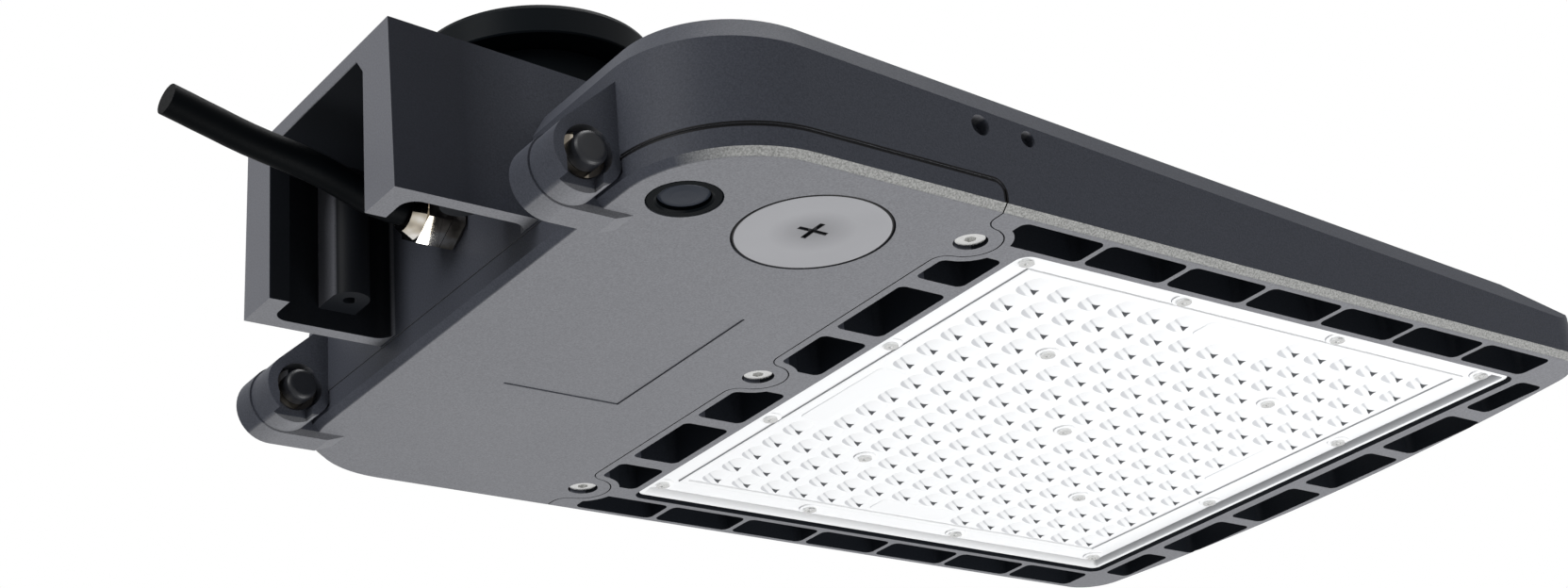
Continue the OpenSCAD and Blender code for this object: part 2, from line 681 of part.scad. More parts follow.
module driver_door() color(cast_grey) difference() {
    union() {
        intersection() {
            body_form();
            lower() difference() {
                translate([0, 0, -eps]) linear_extrude(door_depth - seam + eps) door_plan(-seam);
                corner_fill(seam);
            }
        }
        lower() for (y = hinge_y) translate([0, y + ear_w + fit_gap, 0]) knuckle();
    }
    // hollow of the door, with collars left standing
    difference() {
        lower() translate([0, 0, door_floor]) linear_extrude(big) bay_plan(0);
        lower() translate([plug_pos[0], plug_pos[1], 0]) cylinder(h = collar_h, r = plug_r + 3);
        lower() translate([button_pos[0], button_pos[1], 0]) cylinder(h = 8, r = bezel_r + 2);
        lower() for (x = [body_x + 45, body_x + 85]) translate([x - 1, -body_w/2, 0]) cube([2, body_w, 6]);
    }
    // groove for the seal
    lower() translate([0, 0, door_depth - 2]) linear_extrude(big) difference() {
        bay_plan(-seal_in - seal_w);
        bay_plan(-seal_in);
    }
    // room for the ears
    for (y = hinge_y) lower() translate([hinge_x, y - 1, hinge_z])
        rotate([-90, 0, 0]) cylinder(h = ear_w + 1 + fit_gap, r = ear_r + 2*fit_gap);
    // pin bores
    for (y = hinge_y) lower() translate([hinge_x, y, hinge_z])
        rotate([-90, 0, 0]) cylinder(h = 60, r = pin_r + clear);
    // shallow recess
    lower() translate([body_x + 43, -recess_w/2 + 2, -eps]) cube([recess_l, recess_w, recess_d + eps]);
    // screw tabs: counterbore and hole
    lower() for (y = tab_ys) {
        translate([tab_x, y, -eps]) cylinder(h = tab_bore_h + eps, r = 6);
        translate([tab_x, y, -eps]) cylinder(h = big, r = 3);
    }
    // holes for the sensor plug and the button
    lower() translate([plug_pos[0], plug_pos[1], -eps]) {
        cylinder(h = plug_t + plug_seal_t + eps, r = plug_r + fit_gap);
        cylinder(h = big, r = plug_neck_r + clear);
        // passages for the lugs, a quarter turn from where they lock
        linear_extrude(big) plug_lugs(90, plug_land + fit_gap, lug_angle + 4);
    }
    lower() translate([button_pos[0], button_pos[1], -eps]) {
        cylinder(h = bezel_t + eps, r = bezel_r + clear);
        cylinder(h = big, r = bezel_r - 1.5);
    }
}

// One knuckle of the door, its near face at y = 0
module knuckle() translate([0, knuckle_w/2, 0]) across(knuckle_w) {
    translate([hinge_x, hinge_z]) circle(knuckle_r);
    polygon([[hinge_x, hinge_z - knuckle_r], [body_x + 7, hinge_z - knuckle_r], [body_x + 14, 0],
             [body_x + 14, door_floor], [body_x + 6, door_depth - seam], [hinge_x, door_depth - seam]]);
}

module door_gasket() color(black) lower() translate([0, 0, door_depth - 2])
    linear_extrude(1.9) difference() {
        bay_plan(-seal_in - seal_w + clear);
        bay_plan(-seal_in - clear);
    }

// A screw with its head down and its seat at z = 0
module screw(head_r, head_h, shank_r, shank_l, socket_r) difference() {
    union() {
        translate([0, 0, -head_h]) cylinder(h = head_h, r = head_r);
        cylinder(h = shank_l, r = shank_r);
    }
    if (socket_r > 0) translate([0, 0, -head_h - eps]) cylinder(h = head_h*0.6, r = socket_r, $fn = 6);
}

module door_screws() color(steel) lower() for (y = tab_ys)
    translate([tab_x, y, tab_bore_h]) screw(5.2, 3, 2.5, door_screw_l, 2.2);

pin_l = pin_out + ear_w + fit_gap + knuckle_w - 0.5;
module hinge_pins() color(black) lower() for (y = hinge_y)
    translate([hinge_x, y - pin_out, hinge_z]) rotate([-90, 0, 0]) difference() {
        rotate_extrude() polygon(concat(
            [[0, 0]], [for (a = [0 : 15 : 90]) [pin_r - 2 + 2*sin(a), 2 - 2*cos(a)]],
            [[pin_r, pin_l], [0, pin_l]]));
        translate([0, 0, pin_out + pocket_d - 1.4]) difference() {
            cylinder(h = 1.2, r = pin_r + 1);
            translate([0, 0, -1]) cylinder(h = 4, r = pin_r - 0.8);
        }
    }

module hinge_clips() color(steel) lower() for (y = hinge_y)
    translate([hinge_x, y + pocket_d - 1.3, hinge_z]) rotate([-90, 0, 0]) difference() {
        cylinder(h = 1, r = pocket_r - 0.8);
        translate([0, 0, -1]) cylinder(h = 4, r = pin_r - 0.75);
        translate([-3, -12, -1]) cube([6, 12, 4]);
    }

// Lens rows on each side of the middle one, along and across the tray
half_nx = floor((tray_l/2 - field_in)/pitch_x);
half_ny = floor((tray_w/2 - field_in)/pitch_y);
// True where the lens field has a lens: i along, j across, from the middle
function has_lens(i, j) =
    !(abs(i) == field_screw && abs(j) == field_screw) && !(i == 0 && j == 0)
    && !(abs(j) == half_ny && abs(i) <= 1)
    && !(i == half_nx && abs(j) <= 1)
    && !(i == -half_nx && j >= -1 && j <= 2);
lens_xy = [for (i = [-half_nx : half_nx], j = [-half_ny : half_ny]) if (has_lens(i, j))
           [tray_mid + i*pitch_x, j*pitch_y]];

// Strips of the sheet's raised border, drawn in from its edge
module border(inset) difference() {
    sheet_plan(inset);
    sheet_plan(inset + border_w);
}

module sheet_plan(inset)
    round_rect(tray_x0 + lens_gap + inset, tray_x0 + tray_l - lens_gap - inset,
               -lens_w/2 + inset, lens_w/2 - inset, max(tray_r - lens_gap - inset, 1));

module lens_plate() color(clear_white) lower() difference() {
    union() {
        translate([0, 0, lens_h]) linear_extrude(lens_t) sheet_plan(0);
        translate([0, 0, lens_h - border_t]) linear_extrude(border_t + eps) {
            border(0);
            border(13);
        }
        // raised pads at the middle of each side
        for (p = [[0, 1, 0], [0, -1, 0], [1, 0, 0], [-1, 0, 0.5]])
            translate([tray_mid + p[0]*half_nx*pitch_x, (p[1]*half_ny + p[2])*pitch_y, lens_h - 0.8])
                linear_extrude(0.8 + eps)
                    square(p[0] == 0 ? [3*pitch_x - 4, pitch_y - 2] : [pitch_x - 2, (3 + 2*p[2])*pitch_y - 4],
                           center = true);
        for (p = lens_xy, side = [-1, 1]) translate([p[0], p[1] + side*lobe_off, lens_h - lobe_h])
            cylinder(h = lobe_h + eps, r1 = lobe_top_r, r2 = lobe_r, $fn = 24);
    }
    for (p = lens_screw_xy) translate([p[0], p[1], 0]) cylinder(h = 20, r = lens_hole_r);
}

module lens_gasket() color(black) lower() translate([0, 0, lens_h + lens_t])
    linear_extrude(tray_h - lens_h - lens_t) difference() {
        sheet_plan(0);
        sheet_plan(lens_seal_w);
    }

board_in = 15;                      // how far the board's edge lies inside the tray's edge
module led_board() color("white") lower() translate([0, 0, tray_h - board_t]) difference() {
    linear_extrude(board_t)
        round_rect(tray_x0 + board_in, tray_x0 + tray_l - board_in,
                   -tray_w/2 + board_in, tray_w/2 - board_in, 3);
    for (p = lens_screw_xy) translate([p[0], p[1], -1]) cylinder(h = 5, r = post_r + fit_gap);
    translate([lead_x1, lead_y, -1]) cylinder(h = 5, r = lead_r);
}

module led_chips() color([0.95, 0.85, 0.3]) lower() for (p = lens_xy)
    translate([p[0] - 1.5, p[1] - 1.5, tray_h - board_t - 0.6]) cube([3, 3, 0.6]);

module lens_screws() color(steel) lower() for (p = lens_screw_xy)
    translate([p[0], p[1], lens_h]) screw(2.8, 1.6, 1.6, tray_h - lens_h + 3.5, 1.2);

// The plug is turned about its axis, so it is drawn as a revolved profile
module sensor_plug() color([0.55, 0.55, 0.56]) lower() translate([plug_pos[0], plug_pos[1], 0]) {
    neck_h = collar_h + 2;
    difference() {
        rotate_extrude() polygon([
            [0, 0.9], [plug_r*0.35, 0.7], [plug_r*0.7, 0.3], [plug_r - 1.5, 0.02], [plug_r - 0.5, 0.1],
            [plug_r, 0.5], [plug_r, plug_t - 0.6],
            [plug_neck_r + 2.6, plug_t - 0.6], [plug_neck_r + 2.6, plug_t], [plug_neck_r, plug_t],
            [plug_neck_r, neck_h - 1], [plug_neck_r - 1, neck_h],
            [plug_neck_r - 3, neck_h], [plug_neck_r - 3, plug_t + 1], [0, plug_t + 1]]);
        for (a = [0, 90]) rotate(a) translate([-cross_l/2, -cross_w/2, -1]) cube([cross_l, cross_w, 2.9]);
    }
    translate([0, 0, collar_h + clear]) linear_extrude(1.4) plug_lugs(0, plug_land, lug_angle);
}

module plug_seal() color(black) lower() translate([plug_pos[0], plug_pos[1], plug_t - 0.6 + clear])
    difference() {
        cylinder(h = 0.6 + plug_seal_t - clear, r = plug_r - 0.3);
        translate([0, 0, -1]) cylinder(h = 3, r = plug_neck_r + 2.6 + 2*clear);
    }

// Moves a piece onto the axis of the button
module at_button() lower() translate([button_pos[0], button_pos[1], 0]) children();

module button_bezel() color(black) at_button() rotate_extrude() polygon([
    [button_r + 0.3, 0.6], [button_r + 1.2, 0.1], [bezel_r - 0.6, 0.1], [bezel_r, 0.6], [bezel_r, bezel_t],
    [bezel_r - 1.5 - clear, bezel_t], [bezel_r - 1.5 - clear, switch_z], [button_r + 0.3, switch_z]]);

module push_button() color([0.2, 0.23, 0.28]) at_button() rotate_extrude() polygon([
    [0, 0.7], [button_r*0.5, 0.85], [button_r*0.85, 1.2], [button_r, 1.8],
    [button_r, spring_z], [stem_r, spring_z], [stem_r, switch_z + 0.2], [0, switch_z + 0.2]]);

// A wire coil of n turns between two heights, flat rings left out
module coil(r, wire, z0, z1, turns, sides) {
    steps = turns*18;
    tube([for (k = [0 : steps]) [r*cos(20*k), r*sin(20*k), z0 + (z1 - z0)*k/steps]], wire, sides);
}

module button_spring() color(steel) at_button()
    coil(stem_r + 2, 0.35, spring_z + 0.4, switch_z - 0.4, 4, 6);

module switch_body() color([0.12, 0.12, 0.13]) at_button() difference() {
    union() {
        translate([0, 0, switch_z]) cylinder(h = 3, r = bezel_r - 1.5 - clear);
        translate([-8, -8, switch_z + 3]) cube([16, 16, 8]);
        for (x = [-5, 0, 5]) translate([x - 0.6, -2.5, switch_z + 11]) cube([1.2, 5, 4]);
    }
    translate([0, 0, switch_z - 1]) cylinder(h = button_travel + 2, r = stem_r + fit_gap);
}

module receptacle_gasket() color(black) lower() translate([socket_x, 0, pad_h]) difference() {
    cylinder(h = 1, r = socket_foot_r);
    translate([0, 0, -1]) cylinder(h = 4, r = socket_hole_r + 1);
    for (a = socket_screw_a) rotate(a) translate([socket_screw_r, 0, -1]) cylinder(h = 4, r = 2);
}

// Plan of a ring sector, from angle a0 to a1
module sector(r0, r1, a0, a1) difference() {
    intersection() {
        circle(r1);
        polygon([[0, 0], [2*r1*cos(a0), 2*r1*sin(a0)], [3*r1*cos((a0 + a1)/2), 3*r1*sin((a0 + a1)/2)],
                 [2*r1*cos(a1), 2*r1*sin(a1)]]);
    }
    circle(r0);
}

blade_angles = [90, 210, 330];
blade_span = 26;
module receptacle() color(black) lower() translate([socket_x, 0, pad_h + 1]) difference() {
    union() {
        cylinder(h = 4, r = socket_foot_r);
        cylinder(h = socket_h - 1, r = socket_r);
    }
    // slots in which the blades slide and turn
    for (a = blade_angles) translate([0, 0, socket_h - 1 - blade_l - 1]) linear_extrude(big)
        sector(blade_ring_r - 1.2, blade_ring_r + 1.2, a - blade_span/2 - 2, a + blade_span/2 + 2 + twist);
    for (a = socket_screw_a) rotate(a) translate([socket_screw_r, 0, -1]) {
        cylinder(h = big, r = 2);
        translate([0, 0, 5]) cylinder(h = big, r = 4);
    }
    translate([0, 0, -1]) cylinder(h = 4, r = socket_hole_r - 1);
}

module receptacle_screws() color(steel) lower() translate([socket_x, 0, pad_h + 5]) for (a = socket_screw_a)
    rotate(a) translate([socket_screw_r, 0, 0]) mirror([0, 0, 1]) screw(3.2, 2, 1.6, socket_screw_l, 1.2);

module shorting_cap() color(black) lower() translate([socket_x, 0, cap_z]) rotate_extrude() polygon([
    [0, 1.5], [socket_r - 4, 1.5], [socket_r - 4, 0], [cap_r - 0.4, 0], [cap_r, 0.6],
    [cap_r - 0.6, cap_h - 2.5], [cap_r - 1.2, cap_h - 1], [cap_r - 2.6, cap_h - 0.2],
    [cap_r*0.6, cap_h + 0.9], [0, cap_h + 1.4]]);

module cap_blades() color([0.8, 0.65, 0.3]) lower() translate([socket_x, 0, cap_z + 1.5 - blade_l])
    for (a = blade_angles) linear_extrude(blade_l)
        sector(blade_ring_r - 0.8, blade_ring_r + 0.8, a - blade_span/2, a + blade_span/2);

// Places a turned piece on the gland's axis, with its length along +X from x
module on_gland(x) translate([x, 0, gland_z]) rotate([0, 90, 0]) children();
gland_x = body_x - 1;               // seat of the gland's hexagon on its seal
gland_bore_r = cable_d/2 + clear;
nut_end = gland_x - 18.5;           // outer end of the gland nut
hex_r = gland_flat/2/cos(30);

module gland_body() color(steel) difference() {
    union() {
        on_gland(gland_x - 5) cylinder(h = 5, r = hex_r, $fn = 6);
        on_gland(gland_x) cylinder(h = 11, r = gland_r);
        on_gland(gland_x - 9) cylinder(h = 4 + eps, r = gland_r + 0.4);
    }
    on_gland(gland_x - 10) cylinder(h = 30, r = gland_bore_r);
}

module gland_seal() color(black) difference() {
    on_gland(gland_x) cylinder(h = 1, r = gland_flat/2);
    on_gland(gland_x - 1) cylinder(h = 3, r = gland_r + clear);
}

module gland_nut() color(steel) difference() {
    union() {
        on_gland(gland_x - 14) cylinder(h = 8.8, r = hex_r, $fn = 6);
        on_gland(gland_x - 18.5) cylinder(h = 4.5, r1 = gland_r - 0.5, r2 = gland_flat/2 - 0.2);
    }
    on_gland(gland_x - 20) cylinder(h = 30, r = gland_bore_r);
    on_gland(gland_x - 9.1) cylinder(h = 5, r = gland_r + 0.5);
}

module gland_locknut() color(steel) difference() {
    on_gland(body_x + rim_w) cylinder(h = 4, r = hex_r, $fn = 6);
    on_gland(body_x + rim_w - 1) cylinder(h = 8, r = gland_r + clear);
}

// Route of the free cable, from the gland to its cut end
cable_route = [
    [nut_end, 0, gland_z], [28, 0, gland_z + 0.1], [22, -0.1, gland_z + 0.9], [16, -0.4, gland_z + 2.4],
    [10, -0.8, -2.7], [4, -1.3, -0.9], [-2, -1.8, 0.5], [-8, -2.4, 1.5], [-14, -2.9, 2.3], [-20, -3.5, 3],
    [-26, -4, 3.9], [-32, -4.6, 5], [-38, -5.2, 6.3], [-44, -5.8, 7.5], [-50, -6.4, 8.8], [-56, -7, 10]];

function unit(v) = v/norm(v);
// Direction of a route at its point k
function heading(route, k) = unit(route[min(k + 1, len(route) - 1)] - route[max(k - 1, 0)]);
// A ring of points of radius r round point k of a route, with sides corners
function ring(route, k, r, sides) =
    let (d = heading(route, k), u = unit(cross(d, abs(d[2]) < 0.9 ? [0, 0, 1] : [0, 1, 0])), v = cross(d, u))
    [for (s = [0 : sides - 1]) route[k] + r*(cos(360*s/sides)*u + sin(360*s/sides)*v)];
// A tube of radius r swept along a route
module tube(route, r, sides) {
    n = len(route);
    points = [for (k = [0 : n - 1]) each ring(route, k, r, sides)];
    walls = [for (k = [0 : n - 2], s = [0 : sides - 1], half = [0, 1])
        let (a = k*sides + s, b = k*sides + (s + 1)%sides)
        half == 0 ? [a, a + sides, b + sides] : [a, b + sides, b]];
    polyhedron(points, concat(walls,
        [for (s = [1 : sides - 2]) [0, s, s + 1]],
        [for (s = [1 : sides - 2]) [(n - 1)*sides, (n - 1)*sides + s + 1, (n - 1)*sides + s]]), convexity = 4);
}

module power_cable() color(black) tube(cable_route, cable_d/2, 12);

// A box with two ends cut for lugs: the driver's case and its mounting feet
module led_driver() color(steel) lower() difference() {
    union() {
        translate(driver_pos) cube([driver_w, driver_l, driver_h]);
        translate(driver_pos + [4, -10, driver_h - 1.5]) cube([driver_w - 8, driver_l + 20, 1.5]);
        for (k = [0 : 5]) translate(driver_pos + [8, 15 + k*(driver_l - 34)/5, -0.8])
            cube([driver_w - 16, 4, 0.8 + eps]);
    }
    for (foot = driver_feet) translate([foot[0], foot[1], 0]) cylinder(h = 100, r = screw_r + 0.3);
}

module driver_screws() color(steel) lower() for (foot = driver_feet)
    translate([foot[0], foot[1], foot[2] - 1.5]) screw(3.4, 2, screw_r - clear, 5.5, 1.3);

module surge_protector() color([0.75, 0.2, 0.15]) lower() difference() {
    union() {
        translate(surge_pos) cube(surge_size);
        translate(surge_pos + [4, -10, surge_size[2] - 2]) cube([surge_size[0] - 8, surge_size[1] + 20, 2]);
    }
    for (foot = surge_feet) translate([foot[0], foot[1], 0]) cylinder(h = 100, r = screw_r + 0.3);
}

module terminal_block() color([0.9, 0.9, 0.86]) lower() difference() {
    translate(terminal_pos) cube(terminal_size);
    for (foot = terminal_feet) translate([foot[0], foot[1], 0]) {
        cylinder(h = 100, r = screw_r + 0.3);
        cylinder(h = terminal_pos[2] + 8, r = 3.7);
    }
    for (k = [0 : 4]) translate(terminal_pos + [terminal_size[0]/2 + 6.5, 9 + k*6, -eps])
        cylinder(h = 9, r = 1.6);
}

module bay_screws() color(steel) lower() {
    for (foot = surge_feet) translate([foot[0], foot[1], foot[2] - 2])
        screw(3.4, 2, screw_r - clear, 7, 1.3);
    for (foot = terminal_feet) translate([foot[0], foot[1], terminal_pos[2] + 8])
        screw(3.4, 2, screw_r - clear, terminal_size[2] - 3, 1.3);
}

// The cable inside the bay, and the wires that leave it
tail_x = gland_x + 17;
module cable_tail() color(black) on_gland(nut_end) cylinder(h = tail_x - nut_end, r = cable_d/2);

module bay_leads() for (k = [-1 : 1]) {
    x1 = terminal_mid + 4*k;
    z1 = bottom_z + terminal_top - 2.2;
    y1 = terminal_pos[1] + terminal_size[1];
    color([[0.1, 0.1, 0.1], [0.9, 0.9, 0.9], [0.1, 0.5, 0.2]][k + 1])
    tube([[tail_x, -2.4*k, gland_z], [tail_x + 2, -2.6*k, gland_z], [tail_x + 5 + k, -4 - 3*k, gland_z],
          [x1 + 1, y1/4, gland_z + 1], [x1, y1/2, z1], [x1, y1*0.8, z1], [x1, y1, z1]], 1.1, 8);
}

led_wire_r = 0.7;
led_wire_gap = 0.9;
module led_leads() color([0.8, 0.1, 0.1]) lower() for (side = [-1, 1])
    translate([driver_pos[0] + driver_w, lead_y + side*led_wire_gap, lead_h])
        rotate([0, 90, 0]) cylinder(h = lead_x1 - driver_pos[0] - driver_w, r = led_wire_r);

module lead_grommet() color(black) lower() translate([bay_x1, lead_y, lead_h]) rotate([0, 90, 0]) difference() {
    union() {
        translate([0, 0, -1.5]) cylinder(h = 1.5, r = lead_r + 1.2);
        cylinder(h = 3, r = lead_r - clear);
    }
    for (side = [-1, 1]) translate([0, side*led_wire_gap, -5]) cylinder(h = 20, r = led_wire_r + clear);
}

housing();
pole_arm();
led_tray();
side_bosses();
driver_door();
door_gasket();
door_screws();
hinge_pins();
hinge_clips();
lens_plate();
lens_gasket();
led_board();
led_chips();
lens_screws();
sensor_plug();
plug_seal();
button_bezel();
push_button();
button_spring();
switch_body();
receptacle_gasket();
receptacle();
receptacle_screws();
shorting_cap();
cap_blades();
gland_body();
gland_seal();
gland_nut();
gland_locknut();
power_cable();
led_driver();
driver_screws();
surge_protector();
terminal_block();
bay_screws();
cable_tail();
bay_leads();
led_leads();
lead_grommet();
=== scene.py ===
"""Looks of the shoebox area light: camera, studio, finishes, cable and lens details."""

import json
import math

import bmesh
import bpy
from mathutils import Matrix, Vector


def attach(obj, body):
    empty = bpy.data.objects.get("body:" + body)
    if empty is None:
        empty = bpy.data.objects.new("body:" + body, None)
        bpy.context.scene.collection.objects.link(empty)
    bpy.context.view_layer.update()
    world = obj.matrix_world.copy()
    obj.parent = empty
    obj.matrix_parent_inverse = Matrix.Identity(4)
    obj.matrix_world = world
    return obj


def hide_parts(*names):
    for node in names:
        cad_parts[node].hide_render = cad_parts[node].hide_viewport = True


# Sizes are written in millimetres, and the scene is in metres.
MM = 0.001
# The underside of the light, in millimetres
BOTTOM_Z = -43.5

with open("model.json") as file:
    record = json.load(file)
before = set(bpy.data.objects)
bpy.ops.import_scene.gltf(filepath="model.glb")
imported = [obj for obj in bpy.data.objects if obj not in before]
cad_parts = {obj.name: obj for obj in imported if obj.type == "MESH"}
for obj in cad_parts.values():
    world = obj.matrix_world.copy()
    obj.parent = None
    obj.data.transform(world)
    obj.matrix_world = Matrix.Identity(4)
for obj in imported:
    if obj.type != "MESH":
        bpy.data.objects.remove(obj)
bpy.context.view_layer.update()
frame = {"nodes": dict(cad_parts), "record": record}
NODES = frame["nodes"]


# ---------------------------------------------------------------- camera

CAMERA_PLACE = (-0.3363, -0.6880, -0.4075)
# Where the camera's own right, up and back point
CAMERA_RIGHT = (0.8123, -0.5774, -0.0825)
CAMERA_UP = (-0.1827, -0.3862, 0.9041)
CAMERA_BACK = (-0.5539, -0.7194, -0.4192)
CAMERA_LENS = 58.16
SENSOR_WIDTH = 36.0


def make_camera():
    """The photograph's view: from the pole end, the button side and below."""
    data = bpy.data.cameras.new("photo_camera")
    data.sensor_fit = "HORIZONTAL"
    data.sensor_width = SENSOR_WIDTH
    data.lens = CAMERA_LENS
    data.clip_start = 0.01
    data.clip_end = 50
    camera = bpy.data.objects.new("photo_camera", data)
    bpy.context.scene.collection.objects.link(camera)
    turn = Matrix((CAMERA_RIGHT, CAMERA_UP, CAMERA_BACK)).transposed().to_4x4()
    camera.matrix_world = Matrix.Translation(CAMERA_PLACE) @ turn
    bpy.context.scene.camera = camera


# ---------------------------------------------------------------- cable

# The route of part.scad from the gland to the cut end, in millimetres
CABLE_ROUTE = [
    (33, 0, -7.1), (28, 0, -7), (22, -0.1, -6.2), (16, -0.4, -4.7),
    (10, -0.8, -2.7), (4, -1.3, -0.9), (-2, -1.8, 0.5), (-8, -2.4, 1.5),
    (-14, -2.9, 2.3), (-20, -3.5, 3), (-26, -4, 3.9), (-32, -4.6, 5),
    (-38, -5.2, 6.3), (-44, -5.8, 7.5), (-50, -6.4, 8.8), (-56, -7, 10),
]
CABLE_D = 11


def make_cable():
    """The supply cable, a round tube along its route with flat ends."""
    curve = bpy.data.curves.new("supply_cable", "CURVE")
    curve.dimensions = "3D"
    curve.bevel_depth = 1
    curve.bevel_resolution = 8
    curve.resolution_u = 6
    curve.use_fill_caps = True
    spline = curve.splines.new("POLY")
    spline.points.add(len(CABLE_ROUTE) - 1)
    for point, place in zip(spline.points, CABLE_ROUTE):
        point.co = (*[c * MM for c in place], 1)
        point.radius = CABLE_D / 2 * MM
    spline.use_smooth = True
    cable = bpy.data.objects.new("supply_cable", curve)
    bpy.context.scene.collection.objects.link(cable)
    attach(cable, "fixture")
    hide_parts("power_cable")
    curve.materials.append(MATERIALS["cable_black"])


# ---------------------------------------------------------------- materials

# Tones of the powder coat. The under, edge and arm-end tones are painted light, and the arm-side,
# arm-inside, seam and slot tones are painted shade.
SIDE_TONE = (0.056, 0.060, 0.074)
LIT_UNDER_TONE = (0.176, 0.178, 0.190)
EDGE_HIGHLIGHT_TONE = (0.31, 0.31, 0.30)
ARM_SIDE_SHADE_TONE = (0.015, 0.017, 0.024)
ARM_INSIDE_SHADE_TONE = (0.006, 0.007, 0.009)
ARM_END_LIT_TONE = (0.148, 0.151, 0.168)
SEAM_SHADOW_TONE = (0.001, 0.001, 0.0015)
SLOT_SHADE_TONE = (0.010, 0.012, 0.016)

# How much the coat's grain darkens and lightens each tone
SIDE_GRAIN = 0.2
UNDER_GRAIN = 0.16
EDGE_GRAIN = 0.4
ARM_GRAIN = 0.13

# Parts of a normal: where each tone of the coat starts and where it is full
FACES_DOWN = (-0.74, -0.9)
EDGE_SLANT = (-0.88, -0.45)
EDGE_ASIDE = (0.35, 0.6)
ARM_BESIDE = (0.5, 0.7)
ARM_END_FACING = (-0.9, -0.98)
ARM_UPPER_FACING = 0.3
SEAM_LEVEL = (0.3, 0.4)
SLOT_UPRIGHT = 0.5

# Places of the painted shade and light on the arm, on the seam round the door and in the slots, in
# millimetres, after part.scad
ARM_INSIDE_Y = 50.8
ARM_SHADE_L = 26
ARM_FOOT_Z = -31.8
ARM_ROOF_Z = 31
ARM_LIP_X = (0.3, 0.5)
SEAM_START = 52.6
SEAM_X = 174.25
SEAM_Z = -33.15
SEAM_R = 4.5
SEAM_HALF = 1.05
SEAM_SOFT = 0.2
SLOT_WALLS_X = (182, 482)
SLOT_WALLS_Y = 143.5
SLOT_WALLS_Z = (-8, -14)
# How far above the underside the painted light of its tone begins on what reaches down to it
UNDER_FADE = 0.4

# The plug, with painted shade in its dish, in its cross slot and at its rim. Its depths and its rim are in
# millimetres, its dish in parts of its radius.
PLUG_TONE = (0.300, 0.300, 0.313)
PLUG_SLOT_SHADE_TONE = (0.02, 0.02, 0.022)
PLUG_SHADE = 0.34
PLUG_DISH = (0.55, 0.12)
PLUG_SLOT_DEPTH = (0.95, 1.2)
PLUG_RIM = (1.0, 0.85)

# The lens sheet
LENS_WHITE = (0.84, 0.845, 0.85)
LENS_SHADE_GREY = (0.58, 0.59, 0.61)
# Parts of a normal: where a lens is steep, and how far it slopes away from the arm, which set its painted
# shade
LENS_STEEP = (-0.97, -0.93)
LENS_AWAY = (0.17, 0.27)
LENS_AWAY_X = 0.3
LENS_AWAY_Y = 0.9
# How far its shading is that of a flat sheet
LENS_EVENNESS = 0.7
# How much of the sheet is white and not clear, head-on and edge-on
LENS_COVER = (0.97, 1.0)

# The floor's white that the camera, metal and glass see
PAPER_WHITENESS = 0.75

# The values of a noise between which grain and broad patches go from dark to pale
GRAIN_SPAN = (0.3, 0.7)
PATCH_SPAN = (0.25, 0.75)

# Sockets of a Mix node for vectors and for colours
VECTOR_IN = (4, 5)
VECTOR_OUT = 1
COLOR_IN = (6, 7)
COLOR_OUT = 2


